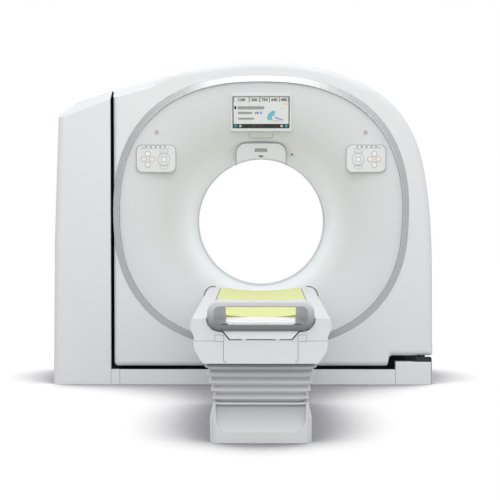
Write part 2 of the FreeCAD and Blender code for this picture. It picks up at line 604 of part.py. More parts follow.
def base():
    parts = []
    for side in (-1, 1):
        y = (side * BEAM_Y - BEAM_W / 2, side * BEAM_Y + BEAM_W / 2)
        beam = box(BASE_X, y, (0.0, BEAM_TOP_Z))
        inner = box((BASE_X[0] - 1, BASE_X[1] + 1), (y[0] + BEAM_WALL, y[1] - BEAM_WALL),
                    (BEAM_WALL, BEAM_TOP_Z - BEAM_WALL))
        parts.append(beam.cut(inner))
    reach = BEAM_Y - BEAM_W / 2
    parts.append(box((BASE_X[0], SIDE_PLATE_LEFT_X), (-reach, reach), (0.0, SIDE_PLATE_Z)))
    parts.append(box((SIDE_PLATE_RIGHT_X, BASE_X[1]), (-reach, reach), (0.0, SIDE_PLATE_Z)))
    frame = fuse(parts)
    for x in (-ANCHOR_X, ANCHOR_X):
        for y in (-ANCHOR_Y, ANCHOR_Y):
            frame = frame.cut(Part.makeCylinder(ANCHOR_RADIUS, 200, Vector(x, y, -10)))
    keep("gantry_base_frame", fuse([frame, left_stand(), right_stand()]))

    front = []
    for y_face, direction in ((FRONT_Y, 1), (REAR_Y, -1)):
        skin = sorted((y_face, y_face + direction * COVER_WALL))
        shelf = sorted((y_face, y_face + direction * BASE_COVER_DEEP))
        x = (COLUMN_TOE_X + SEAT_GAP, FOOT_LEFT_X - SEAT_GAP)
        front.append(fuse([box(x, skin, (0.0, BASE_TOP_Z)),
                           box(x, shelf, (BASE_TOP_Z - COVER_WALL, BASE_TOP_Z))]))
    keep("base_covers", Part.makeCompound(front))
    feet = []
    for y_face, direction in ((FRONT_Y, 1), (REAR_Y, -1)):
        far = y_face + direction * FOOT_COVER_DEEP
        corners = [(FOOT_LEFT_X, y_face), (FOOT_RIGHT_X, y_face, FOOT_ROUND), (FOOT_RIGHT_X, far), (FOOT_LEFT_X, far)]
        block = prism(corners, in_xy(0.0), Vector(0, 0, FOOT_TOP_Z))
        top = [e for e in block.Edges if abs(e.BoundBox.ZMin - FOOT_TOP_Z) < 0.01]
        block = block.makeFillet(6.0, top)
        near, deep = sorted((y_face + direction * COVER_WALL, far + direction * 1.0))
        hollow = box((FOOT_LEFT_X + COVER_WALL, FOOT_RIGHT_X - COVER_WALL), (near, deep),
                     (-1.0, FOOT_TOP_Z - COVER_WALL))
        reach = BEAM_Y + BEAM_W / 2 + SEAT_GAP
        beam_room = box((FOOT_LEFT_X - 1.0, FOOT_LEFT_X + 20.0), (-reach, reach), (-1.0, BEAM_TOP_Z + SEAT_GAP))
        feet.append(block.cut(hollow).cut(beam_room))
    keep("right_foot_covers", Part.makeCompound(feet))


def left_stand():
    x0, x1 = LEFT_STAND_X
    z0 = SIDE_PLATE_Z
    side = [(-STAND_FOOT_HALF, z0), (STAND_FOOT_HALF, z0), (STAND_FOOT_HALF, z0 + 60, 20),
            (STAND_HEAD_RADIUS, ISO_HEIGHT, 40), (STAND_HEAD_RADIUS - 50, ISO_HEIGHT + STAND_HEAD_RADIUS, 60),
            (50 - STAND_HEAD_RADIUS, ISO_HEIGHT + STAND_HEAD_RADIUS, 60), (-STAND_HEAD_RADIUS, ISO_HEIGHT, 40),
            (-STAND_FOOT_HALF, z0 + 60, 20)]
    window = [(-150, z0 + 110, 30), (150, z0 + 110, 30), (60, ISO_HEIGHT - 220, 30), (-60, ISO_HEIGHT - 220, 30)]
    plate = prism(side, in_yz(x0), Vector(x1 - x0, 0, 0)).cut(prism(window, in_yz(x0 - 1), Vector(x1 - x0 + 2, 0, 0)))
    return plate.cut(shaft_x(BEARING_RADIUS, (x0 - 1, x1 + 1)))


def right_stand():
    x0, x1 = RIGHT_STAND_X
    z0 = SIDE_PLATE_Z
    half = [(RIGHT_FOOT_HALF, z0), (RIGHT_FOOT_HALF, z0 + 10, 4), (RIGHT_WAIST_HALF, z0 + 26, 12),
            (RIGHT_WAIST_HALF, RIGHT_WAIST_Z, 40), (STAND_HEAD_RADIUS, ISO_HEIGHT - 350, 60),
            (STAND_HEAD_RADIUS, ISO_HEIGHT + STAND_HEAD_RADIUS, 90)]
    corners = half + [(-c[0], *c[1:]) for c in reversed(half)]
    return prism(corners, in_yz(x0), Vector(x1 - x0, 0, 0)).cut(shaft_x(BEARING_RADIUS, (x0 - 1, x1 + 1)))


def tilt_drive():
    rings = [shaft_x(BEARING_RADIUS - SEAT_GAP, x).cut(shaft_x(PIVOT_RADIUS + PIVOT_GAP, x))
             for x in (LEFT_STAND_X, RIGHT_STAND_X)]
    keep("tilt_bearings", Part.makeCompound(rings))
    gearbox = [shaft_x(130.0, (-1030.0, LEFT_STAND_X[0])),
               box((-1085.0, LEFT_STAND_X[0]), (-70.0, 70.0), (ISO_HEIGHT - 190.0, ISO_HEIGHT - 60.0)),
               Part.makeCylinder(52.0, 190.0, Vector(-1020.0, 70.0, ISO_HEIGHT - 125.0), Vector(0, 1, 0))]
    keep("tilt_gear_motor", fuse(gearbox).cut(shaft_x(PIVOT_RADIUS + PIVOT_GAP, (-1000.0, -900.0))))
    cabinet = box((-1120.0, -960.0), (-280.0, 280.0), (SIDE_PLATE_Z, 640.0))
    for i in range(5):
        z = 120.0 + i * 90.0
        cabinet = cabinet.cut(box((-1121.0, -1114.0), (-240.0, 240.0), (z, z + 40.0)))
    keep("power_cabinet", cabinet)


# ---- inside the tilting part ----
def tilt_frame():
    y0, y1 = FRAME_Y
    ring = tube(FRAME_OUTER, FRAME_INNER, FRAME_Y)
    pocket = tube(FRAME_OUTER + 1, FRAME_INNER + FRAME_WEB, (y0 + FRAME_FLANGE, y1 - FRAME_FLANGE))
    parts = [ring.cut(pocket)]
    middle = (y0 + y1) / 2
    for i in range(12):
        turn = math.radians(30 * i + 15)
        rib = box((FRAME_INNER + 6, FRAME_OUTER), (y0, y1), (-9, 9))
        rib.rotate(Vector(0, 0, 0), Vector(0, 1, 0), math.degrees(turn))
        rib.translate(Vector(0, 0, ISO_HEIGHT))
        parts.append(rib)
    for side, stand in ((-1, LEFT_STAND_X), (1, RIGHT_STAND_X)):
        inner = min(abs(stand[0]), abs(stand[1])) - 8.0
        reach = inner if side > 0 else abs(TILT_LEFT_X) - 12.0
        arm = box(sorted((side * (FRAME_OUTER - 60), side * reach)), (-110.0, y1), (ISO_HEIGHT - 140, ISO_HEIGHT + 140))
        arm = arm.cut(tube(FRAME_OUTER - 15, 0, (-200.0, y0)))
        parts.append(arm)
        tip = max(abs(stand[0]), abs(stand[1])) + (45.0 if side < 0 else 0.0)
        parts.append(shaft_x(PIVOT_RADIUS, sorted((side * (reach - 4), side * tip))))
    brackets = [box((-45, 45), (middle - 40, middle + 40), (ISO_HEIGHT + FRAME_OUTER - 4, 2000)),
                box((540, 620), (middle - 40, middle + 40), (ISO_HEIGHT + 480, 2000)),
                box((-620, -540), (middle - 40, middle + 40), (ISO_HEIGHT + 480, 2000)),
                box((-45, 45), (middle - 40, middle + 40), (0, ISO_HEIGHT - FRAME_OUTER + 4)),
                box((-1000, 90 - FRAME_OUTER), (middle - 40, middle + 40), (ISO_HEIGHT - 300, ISO_HEIGHT - 240))]
    inside = envelope(COVER_WALL + SEAT_GAP)
    parts += [b.common(inside) for b in brackets]
    frame = fuse(parts)
    frame = frame.cut(tube(FRAME_INNER, 0, (y0 - 1, y1 + 1)))
    x, z = PULLEY_AT
    mount = tube(78.0, 0, (y0 - 6, y0 + 30), (x, ISO_HEIGHT + z))
    frame = fuse([frame, mount]).cut(tube(16.3, 0, (y0 - 10, y0 + 100), (x, ISO_HEIGHT + z)))
    keep("tilt_frame", frame)
    keep("bearing_outer_race", tube(RACE_MID + RACE_THICK + 0.2, RACE_MID + RACE_GAP / 2, RACE_Y))
    motor = [tube(78.0, 16.3, (y0 + 30 + SEAT_GAP, y0 + 200), (x, ISO_HEIGHT + z))]
    keep("drive_motor", motor[0].cut(tube(FRAME_OUTER + 0.3, FRAME_INNER - 1, (y0 - 1, y1 + 0.3))))


def belt_loop(rim, pulley, y):
    """Belt-shaped solid round the rotor's rim and the pulley."""
    gap = math.hypot(*PULLEY_AT)
    lean = math.acos((rim - pulley) / gap)
    aim = math.atan2(PULLEY_AT[1], PULLEY_AT[0])
    centre, far = Vector(0, y[0], ISO_HEIGHT), Vector(PULLEY_AT[0], y[0], ISO_HEIGHT + PULLEY_AT[1])

    def spot(origin, radius, turn):
        return origin + Vector(radius * math.cos(turn), 0, radius * math.sin(turn))

    a, b = spot(centre, rim, aim + lean), spot(centre, rim, aim - lean)
    c, d = spot(far, pulley, aim - lean), spot(far, pulley, aim + lean)
    wire = Part.Wire([Part.Arc(a, spot(centre, rim, aim + math.pi), b).toShape(), Part.makeLine(b, c),
                      Part.Arc(c, spot(far, pulley, aim), d).toShape(), Part.makeLine(d, a)])
    return Part.Face(wire).extrude(Vector(0, y[1] - y[0], 0))


def drive():
    middle = sum(ROTOR_PLATE_Y) / 2
    y = (middle - BELT_WIDTH / 2, middle + BELT_WIDTH / 2)
    gap = SEAT_GAP
    loop = belt_loop(ROTOR_RIM + gap + BELT_THICK, PULLEY_RADIUS + gap + BELT_THICK, y)
    keep("drive_belt", loop.cut(belt_loop(ROTOR_RIM + gap, PULLEY_RADIUS + gap, y)))
    at = (PULLEY_AT[0], ISO_HEIGHT + PULLEY_AT[1])
    wheel = fuse([tube(PULLEY_RADIUS, 0, (y[0] - 1, y[1] + 1), at), tube(PULLEY_RADIUS + 4, 0, (y[0] - 4, y[0] - 0.6), at),
                  tube(PULLEY_RADIUS + 4, 0, (y[1] + 0.6, y[1] + 3), at), tube(16.0, 0, (y[1], FRAME_Y[0] + 90), at)])
    keep("motor_pulley", wheel)


def rotor():
    y0, y1 = ROTOR_PLATE_Y
    plate = tube(ROTOR_RIM, ROTOR_INNER, ROTOR_PLATE_Y)
    for i in range(8):
        turn = math.radians(45 * i + 22.5)
        at = (570 * math.cos(turn), ISO_HEIGHT + 570 * math.sin(turn))
        if i % 2 == 0:
            plate = plate.cut(tube(48.0, 0, (y0 - 1, y1 + 1), at))
    hub_outer = RACE_MID - RACE_THICK - 0.2
    hub = tube(hub_outer, hub_outer - HUB_THICK, (y1 - 1, SLIP_RING_Y[0] - SEAT_GAP))
    keep("rotor_frame", fuse([plate, hub]))
    keep("bearing_inner_race", tube(RACE_MID - RACE_GAP / 2, RACE_MID - RACE_THICK, RACE_Y))
    ring = tube(SLIP_RING_OUTER, SLIP_RING_INNER, SLIP_RING_Y)
    for i in range(4):
        r = SLIP_RING_INNER + 12 + i * 16
        ring = ring.cut(tube(r + 8, r, (SLIP_RING_Y[1] - 4, SLIP_RING_Y[1] + 1)))
    flange = tube(hub_outer, SLIP_RING_OUTER, (SLIP_RING_Y[0], SLIP_RING_Y[0] + 14))
    keep("slip_ring", fuse([ring, flange]))
    mount = (y0 - SEAT_GAP)
    # tube housing: a cylinder lying along the bore, with its cooler beside it
    tube_at = (0.0, ISO_HEIGHT + TUBE_AT)
    housing = tube(TUBE_RADIUS, 0, (-105.0, mount), tube_at)
    housing = housing.makeFillet(24.0, [e for e in housing.Edges if abs(e.CenterOfMass.y + 105.0) < 0.1])
    nozzle = tube(30.0, 0, (-122.0, -100.0), (60.0, ISO_HEIGHT + TUBE_AT + 40))
    low = ISO_HEIGHT + TUBE_AT - TUBE_RADIUS
    collimator = [(-85.0, low + 10, 6), (85.0, low + 10, 6), (120.0, low - 34, 6), (-120.0, low - 34, 6)]
    blades = prism(collimator, in_xz(-60.0), Vector(0, mount + 60.0, 0))
    beam_slot = box((-70, 70), (-9, 9), (low - 60, low - 4))
    keep("xray_tube_and_collimator", fuse([housing, nozzle, blades]).cut(beam_slot))
    # detector: an arc centred on the focal spot
    focus = (0.0, ISO_HEIGHT + TUBE_AT)
    inner = TUBE_AT + DETECTOR_AT
    arc = tube(inner + 95.0, inner, (-75.0, mount), focus)
    spread = math.tan(math.radians(DETECTOR_HALF_ANGLE))
    wedge = prism([(0.0, focus[1]), (-1400 * spread, focus[1] - 1400), (1400 * spread, focus[1] - 1400)],
                  in_xz(-100.0), Vector(0, 300, 0))
    detector = arc.common(wedge)
    for i in range(-6, 7):
        fin = box((-2.5, 2.5), (-76.0, -55.0), (-inner - 90.0, -inner - 5.0))
        fin.rotate(Vector(0, 0, 0), Vector(0, 1, 0), i * 3.6)
        fin.translate(Vector(0, 0, focus[1]))
        detector = detector.cut(fin)
    keep("detector", detector)
    keep("high_voltage_generator", wedge_box(189.0, 405.0, 680.0, 26.0, (-110.0, mount)))
    keep("data_and_power_unit", wedge_box(-9.0, 405.0, 680.0, 26.0, (-110.0, mount)))


def wedge_box(turn, inner, outer, half_angle, y):
    """Block that fills part of a ring, as the boxes on the rotor do."""
    ring = tube(outer, inner, y)
    a, b = math.radians(turn - half_angle), math.radians(turn + half_angle)
    reach = 1300.0
    wedge = prism([(0.0, ISO_HEIGHT), (reach * math.cos(a), ISO_HEIGHT + reach * math.sin(a)),
                   (reach * math.cos(b), ISO_HEIGHT + reach * math.sin(b))], in_xz(y[0] - 1), Vector(0, y[1] - y[0] + 2, 0))
    return ring.common(wedge)


# ---- table ----
def cradle_section(grow, top_edge, top_middle):
    """Cross-section of the cradle, wider by grow, as a wire in the plane y = 0."""
    wing = CRADLE_HALF + grow
    keel = [(x + grow * 0.9, z - grow) for x, z in CRADLE_KEEL]
    low = [(wing, top_edge), (wing, CRADLE_WING_Z - grow), keel[0], keel[1]]
    points = low + [(-x, z) for x, z in reversed(low)]
    edges = [Part.makeLine(Vector(a[0], 0, a[1]), Vector(b[0], 0, b[1])) for a, b in zip(points, points[1:])]
    edges.append(Part.Arc(Vector(-wing, 0, top_edge), Vector(0, 0, top_middle), Vector(wing, 0, top_edge)).toShape())
    return Part.Wire(edges)


def along_y(wire, y0, y1):
    """Pushes a section drawn at y = 0 from y0 to y1."""
    solid = Part.Face(wire).extrude(Vector(0, y1 - y0, 0))
    solid.translate(Vector(0, y0, 0))
    return solid


def table_section(inset, low_z, high_z):
    """Cross-section of the table body between two heights."""
    side = [(TABLE_TOP_HALF, TABLE_TOP_Z, 12.0), (TABLE_WIDE_HALF, TABLE_WIDE_Z, 30.0),
            (TABLE_WAIST_HALF, TABLE_WAIST_Z, 20.0), (TABLE_WAIST_HALF, TABLE_LOW_Z + 60, 60.0),
            (TABLE_LOW_HALF, TABLE_LOW_Z, 14.0)]
    points = [(x - inset, min(z, TABLE_TOP_Z - inset) if z > TABLE_LOW_Z else z + inset, r) for x, z, r in side]
    whole = points + [(-x, z, r) for x, z, r in reversed(points)]
    solid = along_y(outline(whole, in_xz(0)), TABLE_NEAR_Y + inset, TABLE_FAR_Y - inset)
    return solid.common(box((-400.0, 400.0), (-3000.0, 0.0), (low_z, high_z)))


def plan_shape():
    """What the table keeps, seen from above: far corners well rounded, near ones a little."""
    corners = [(-TABLE_WIDE_HALF - 2, TABLE_NEAR_Y, TABLE_NEAR_ROUND + 6), (TABLE_WIDE_HALF + 2, TABLE_NEAR_Y,
               TABLE_NEAR_ROUND + 6), (TABLE_WIDE_HALF + 2, TABLE_FAR_Y, TABLE_FAR_ROUND),
               (-TABLE_WIDE_HALF - 2, TABLE_FAR_Y, TABLE_FAR_ROUND)]
    return prism(corners, in_xy(300.0), Vector(0, 0, 400))


def table_body():
    plan = plan_shape()
    channel = along_y(cradle_section(CRADLE_GAP, TABLE_TOP_Z + 30, TABLE_TOP_Z + 30.1), TABLE_NEAR_Y - 10, TABLE_FAR_Y + 10)
    handle_room = handle_shape(5.0, TABLE_NEAR_Y - 10, TABLE_NEAR_Y + 80)
    # in the near end wall the corners beside the handle stay
    wall_y = (TABLE_NEAR_Y - 10, TABLE_NEAR_Y + 12)
    corner = box((-300.0, 300.0), wall_y, (500.0, 700.0)).cut(handle_shape(5.0, *wall_y))
    channel = channel.cut(corner.cut(box((-CRADLE_KEEL[0][0] - 4, CRADLE_KEEL[0][0] + 4), wall_y, (400.0, 700.0))))
    upper = table_section(0.0, TABLE_SPLIT_Z + SEAT_GAP, 700.0).common(plan)
    core = table_section(TABLE_WALL, 0.0, 700.0)
    wings = core.cut(box((-CRADLE_HALF - CRADLE_GAP - TABLE_WALL, CRADLE_HALF + CRADLE_GAP + TABLE_WALL),
                         (-3000.0, 0.0), (0.0, 700.0)))
    ends = box((-400.0, 400.0), (TABLE_NEAR_Y + 12.0, TABLE_FAR_Y - 40.0), (0.0, TABLE_TOP_Z - TABLE_WALL))
    well = box((-CRADLE_HALF - CRADLE_GAP, CRADLE_HALF + CRADLE_GAP), (TABLE_NEAR_Y + 12.0, TABLE_FAR_Y + 10),
               (0.0, TABLE_TOP_Z + 10))
    upper = upper.cut(wings.common(ends)).cut(channel).cut(well).cut(handle_room)
    keep("table_top_cover", upper)

    lower = table_section(0.0, 0.0, TABLE_SPLIT_Z).common(plan)
    hollow = table_section(TABLE_WALL, 0.0, TABLE_SPLIT_Z + 1).common(
        box((-400.0, 400.0), (TABLE_NEAR_Y + TABLE_WALL, TABLE_FAR_Y), (0.0, 700.0)))
    tray_z = TABLE_SPLIT_Z - END_TRAY
    sweep = [(LOW_COVER_LEVEL_Y, 300.0), (0.0, 300.0), (0.0, tray_z), (LOW_COVER_FAR_Y, tray_z, 300.0),
             (LOW_COVER_LEVEL_Y, TABLE_LOW_Z, 300.0)]
    far = prism(sweep, in_yz(-400.0), Vector(800, 0, 0))
    raised = prism([(y - 2.0, z + TABLE_WALL if z > 310 else z, *r) for y, z, *r in sweep], in_yz(-400.0),
                   Vector(800, 0, 0))
    keep("table_lower_cover", lower.cut(far).cut(hollow.cut(raised)).cut(channel).cut(mouth()))


def mouth():
    """Hole in the lower cover where the lifting column and the bellows come in."""
    y0, y1 = PEDESTAL_Y
    return box((-BELLOWS_LOW_HALF + 20, BELLOWS_LOW_HALF - 20), (y0 + 60, y1 - 60), (300.0, 380.0))


def chassis():
    z0, z1 = CHASSIS_Z
    y0, y1 = TABLE_NEAR_Y + 40.0, TABLE_FAR_Y - 60.0
    parts = [box((-CHASSIS_HALF, CHASSIS_HALF), (y0, y1), (z1 - CHASSIS_PLATE, z1))]
    for side in (-1, 1):
        x = sorted((side * (CHASSIS_HALF - 30.0), side * CHASSIS_HALF))
        low = z1 - CHASSIS_PLATE
        web = prism([(y0, z0), (LOW_COVER_LEVEL_Y - 60, z0), (LOW_COVER_FAR_Y - 50, low), (y1, low),
                     (y1, z1 - 2), (y0, z1 - 2)], in_yz(x[0]), Vector(x[1] - x[0], 0, 0))
        parts.append(web)
    head = (COLUMN_CENTRE_Y - STAGE_HALF[1], COLUMN_CENTRE_Y + STAGE_HALF[1])
    parts.append(box((-CHASSIS_HALF, CHASSIS_HALF), head, (z0, z0 + 10)))
    middle = (COLUMN_CENTRE_Y - 60, COLUMN_CENTRE_Y + 60)
    parts.append(box((-CHASSIS_HALF + 20, CHASSIS_HALF - 20), middle, (z0, z1)))
    keep("table_chassis", fuse(parts))
    rails = []
    top = CRADLE_WING_Z - 6.0
    for side in (-1, 1):
        x = sorted((side * (RAIL_X - RAIL_W / 2), side * (RAIL_X + RAIL_W / 2)))
        rail = box(x, (y0, y1), (z1, top - 0.3))
        rail = rail.cut(box((x[0] + 4, x[1] - 4), (y0 - 1, y1 + 1), (z1 + 5, top - 10)))
        rails.append(rail)
    keep("cradle_rails", Part.makeCompound(rails))


def cradle():
    near, far = TABLE_NEAR_Y + 2.0, TABLE_FAR_Y - 4.0
    outer = along_y(cradle_section(0.0, CRADLE_EDGE_Z, CRADLE_MIDDLE_Z), near, far)
    # under the wings the cradle rests on its rails, and its near end has a groove for each
    level = (400.0, CRADLE_WING_Z - 6.0)
    for side in (-1, 1):
        wing = sorted((side * 160.0, side * (CRADLE_HALF + 5)))
        groove = sorted((side * (RAIL_X - RAIL_W / 2 - 3), side * (RAIL_X + RAIL_W / 2 + 3)))
        outer = outer.cut(box(wing, (near + 38.0, far + 5), level)).cut(box(groove, (near - 5, far + 5), level))
    # the near end stays within the handle's outline, and is level up to the mat
    end_y, keel = (near - 1.0, near + 16.0), CRADLE_KEEL[0][0]
    shown = fuse([handle_shape(-1.0, *end_y), box((-keel, keel), end_y, (400.0, CRADLE_EDGE_Z))])
    outer = outer.cut(box((-300.0, 300.0), end_y, (400.0, 700.0)).cut(shown))
    level_block = box((-CRADLE_HALF, CRADLE_HALF), (near + 16.0, MAT_NEAR_Y - 2.0),
                      (CRADLE_MIDDLE_Z - 2.0, CRADLE_MIDDLE_Z + MAT_THICK))
    keep("cradle", fuse([outer, level_block]))
    mat_wire = Part.Wire([
        Part.Arc(Vector(-MAT_HALF, 0, mat_z(MAT_HALF)), Vector(0, 0, mat_z(0)), Vector(MAT_HALF, 0, mat_z(MAT_HALF))).toShape(),
        Part.makeLine(Vector(MAT_HALF, 0, mat_z(MAT_HALF)), Vector(MAT_HALF, 0, mat_z(MAT_HALF) + MAT_THICK)),
        Part.Arc(Vector(MAT_HALF, 0, mat_z(MAT_HALF) + MAT_THICK), Vector(0, 0, mat_z(0) + MAT_THICK),
                 Vector(-MAT_HALF, 0, mat_z(MAT_HALF) + MAT_THICK)).toShape(),
        Part.makeLine(Vector(-MAT_HALF, 0, mat_z(MAT_HALF) + MAT_THICK), Vector(-MAT_HALF, 0, mat_z(MAT_HALF)))])
    keep("mat", along_y(mat_wire, MAT_NEAR_Y, far - 2.0))


def mat_z(x):
    """Underside of the mat, just clear of the cradle's hollow top."""
    rise = CRADLE_EDGE_Z - CRADLE_MIDDLE_Z
    radius = (CRADLE_HALF ** 2 + rise ** 2) / (2 * rise)
    return CRADLE_MIDDLE_Z + radius - math.sqrt(radius ** 2 - x ** 2) + SEAT_GAP


def handle_shape(grow, y0, y1):
    """Solid of the handle's outer shape, wider by grow, from y0 to y1."""
    corners = rounded_box(HANDLE_W / 2 + grow, HANDLE_H / 2 + grow, HANDLE_ROUND + grow, (0.0, HANDLE_Z))
    return prism(corners, in_xz(y0), Vector(0, y1 - y0, 0))


def handle():
    y0 = HANDLE_FRONT_Y
    loop = handle_shape(0.0, y0, y0 + HANDLE_DEEP)
    loop = loop.makeFillet(9.0, [e for e in loop.Edges if abs(e.CenterOfMass.y - y0) < 0.1])
    half_w, half_h = HANDLE_W / 2 - HANDLE_BAR, HANDLE_H / 2 - HANDLE_BAR
    wires = [outline(rounded_box(w, h, r, (0.0, HANDLE_Z)), in_xz(y)) for w, h, r, y in
             ((half_w + 0.7, half_h, HANDLE_ROUND - HANDLE_BAR, y0 - 1),
              (HANDLE_BACK_W / 2, half_h, HANDLE_ROUND - HANDLE_BAR - 14, y0 + HANDLE_DEEP + 1))]
    loop = loop.cut(Part.makeLoft(wires, True, True))
    back = (y0 + HANDLE_BAR_DEEP, y0 + HANDLE_DEEP + 5)
    loop = loop.cut(box((-HANDLE_BACK_W / 2 - 2, HANDLE_BACK_W / 2 + 2), back, (HANDLE_Z, 700.0)))
    loop = loop.cut(box((-300.0, 300.0), (TABLE_NEAR_Y + 2.0 - SEAT_GAP, 0.0), (400.0, CRADLE_EDGE_Z + SEAT_GAP)))
    # it passes over the rails as the cradle runs in
    for side in (-1, 1):
        groove = sorted((side * (RAIL_X - RAIL_W / 2 - 3), side * (RAIL_X + RAIL_W / 2 + 3)))
        loop = loop.cut(box(groove, (y0 - 1, 0.0), (400.0, CRADLE_WING_Z - 6.0)))
    keep("cradle_handle", loop)


def pedestal():
    y0, y1 = PEDESTAL_Y
    centre = (y0 + y1) / 2
    half_y = (y1 - y0) / 2

    def level(half, z, inset=0.0):
        pull = PEDESTAL_HALF - half
        return outline(rounded_box(half - inset, half_y - pull - inset, PEDESTAL_ROUND, (0.0, centre)), in_xy(z))

    heights = ((PEDESTAL_HALF, 0.0), (PEDESTAL_HALF, PEDESTAL_SHOULDER_Z), (PEDESTAL_TOP_HALF, PEDESTAL_TOP_Z))
    outer = Part.makeLoft([level(h, z) for h, z in heights], True, True)
    inner = Part.makeLoft([level(h, z - PEDESTAL_WALL * (z > 0) - 1.0 * (z == 0), PEDESTAL_WALL) for h, z in heights], True, True)
    scoop = scoop_tool(0.0)
    cover = outer.cut(scoop).cut(inner.cut(scoop_tool(PEDESTAL_WALL)))
    hole = prism(stage_outline(0, -SEAT_GAP), in_xy(100.0), Vector(0, 0, 100))
    keep("pedestal_cover", fuse([cover.cut(hole), bellows_lip()]))
    inset = PEDESTAL_WALL + SEAT_GAP
    base = prism(rounded_box(PEDESTAL_HALF - inset, half_y - inset, PEDESTAL_ROUND, (0.0, centre)), in_xy(0.0),
                 Vector(0, 0, STAGE_FEET[0]))
    for x in (-TABLE_ANCHOR_X, TABLE_ANCHOR_X):
        for y in (-TABLE_ANCHOR_Y, TABLE_ANCHOR_Y):
            base = base.cut(Part.makeCylinder(TABLE_ANCHOR_RADIUS, 60, Vector(x, centre + y, -10)))
    keep("table_base_plate", base)


def scoop_tool(behind):
    """Wedge cut from the pedestal's front, deepest at the top."""
    y0 = PEDESTAL_Y[0] + behind
    grow = behind
    face = [(-SCOOP_HALF - grow, SCOOP_LOW_Z - grow, SCOOP_ROUND + grow), (SCOOP_HALF + grow, SCOOP_LOW_Z - grow, SCOOP_ROUND + grow),
            (SCOOP_HALF + grow, 300.0), (-SCOOP_HALF - grow, 300.0)]
    column = prism(face, in_xz(y0 - 60), Vector(0, 300, 0))
    lean = [(y0 - 60, SCOOP_LOW_Z - 60), (y0, SCOOP_LOW_Z - grow), (y0 + SCOOP_DEEP, PEDESTAL_TOP_Z + 1),
            (y0 + SCOOP_DEEP, 300.0), (y0 - 60, 300.0)]
    return column.common(prism(lean, in_yz(-300.0), Vector(600, 0, 0)))


def bellows_lip():
    """Raised rim on the pedestal that holds the foot of the bellows."""
    y0, y1 = PEDESTAL_Y
    centre, half_y = (y0 + y1) / 2, (y1 - y0) / 2
    rim = prism(rounded_box(BELLOWS_LOW_HALF, half_y - 14, 34.0, (0.0, centre)), in_xy(PEDESTAL_TOP_Z - 1.0),
                Vector(0, 0, PLATE_THICK + 1.0))
    return rim.cut(prism(rounded_box(BELLOWS_LOW_HALF - 34, half_y - 48, 20.0, (0.0, centre)),
                         in_xy(PEDESTAL_TOP_Z - 2.0), Vector(0, 0, PLATE_THICK + 3)))


def bellows():
    y0, y1 = PEDESTAL_Y
    centre = (y0 + y1) / 2
    low_z, high_z = PEDESTAL_TOP_Z + PLATE_THICK, BELLOWS_TOP_Z
    pitch = (high_z - low_z) / BELLOWS_HALF_FOLDS

    def ring(half, z, inset):
        pull = PEDESTAL_TOP_HALF - half
        return outline(rounded_box(half - inset, (y1 - y0) / 2 - 12 - pull - inset, 34.0, (0.0, centre)), in_xy(z))

    def skin(inset):
        wires = []
        for i in range(BELLOWS_HALF_FOLDS + 1):
            z = low_z + i * pitch
            share = (z - low_z) / (high_z - low_z)
            half = BELLOWS_LOW_HALF + (BELLOWS_TOP_HALF - BELLOWS_LOW_HALF) * share
            half -= BELLOWS_FOLD if i % 2 == 0 else 0.0
            wires.append(ring(half, z, inset))
        return Part.makeLoft(wires, True, True)

    keep("lift_bellows", skin(0.0).cut(skin(BELLOWS_WALL)))
    half_y = (y1 - y0) / 2 - 11 + BELLOWS_TOP_HALF - PEDESTAL_TOP_HALF
    top = prism(rounded_box(BELLOWS_TOP_HALF + 1, half_y, 35.0, (0.0, centre)), in_xy(BELLOWS_TOP_Z),
                Vector(0, 0, TABLE_LOW_Z - BELLOWS_TOP_Z - SEAT_GAP))
    hole = prism(rounded_box(BELLOWS_LOW_HALF - 18, (y1 - y0) / 2 - 58, 20.0, (0.0, centre)),
                 in_xy(BELLOWS_TOP_Z - 1), Vector(0, 0, 40))
    keep("bellows_upper_frame", top.cut(hole))


def stage_outline(number, inset=0.0):
    """Outline of a lifting stage, seen from above; each one runs inside the one before."""
    step = number * (STAGE_WALL + SEAT_GAP) + inset
    return rounded_box(STAGE_HALF[0] - step, STAGE_HALF[1] - step, STAGE_ROUND - step, (0.0, COLUMN_CENTRE_Y))


def lifting_column():
    tops = (*STAGE_TOPS, CHASSIS_Z[0] - SEAT_GAP)
    for number, name in enumerate(("lift_column_outer", "lift_column_middle", "lift_column_inner")):
        z0, z1 = STAGE_FEET[number], tops[number]
        outer = prism(stage_outline(number), in_xy(z0), Vector(0, 0, z1 - z0))
        bore = prism(stage_outline(number, STAGE_WALL), in_xy(z0 - 1), Vector(0, 0, z1 - z0 + 2))
        keep(name, outer.cut(bore))


def main():
    gantry_covers()
    ring_and_funnels()
    display()
    laser_unit()
    control_pod(-1, "left_pod")
    control_pod(1, "right_pod")
    column()
    base()
    tilt_drive()
    tilt_frame()
    drive()
    rotor()
    table_body()
    chassis()
    cradle()
    handle()
    pedestal()
    bellows()
    lifting_column()
    os.makedirs("parts", exist_ok=True)
    for name, shape in NODES.items():
        shape.exportStep(f"parts/{name}.step")


main()
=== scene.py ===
"""Dresses the CT scanner for a studio picture: finishes for every cover and part, the
display's picture, the marks on the control pods, the seams, the table's mat and bellows,
and a plain pale stage. Lengths are in metres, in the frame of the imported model."""

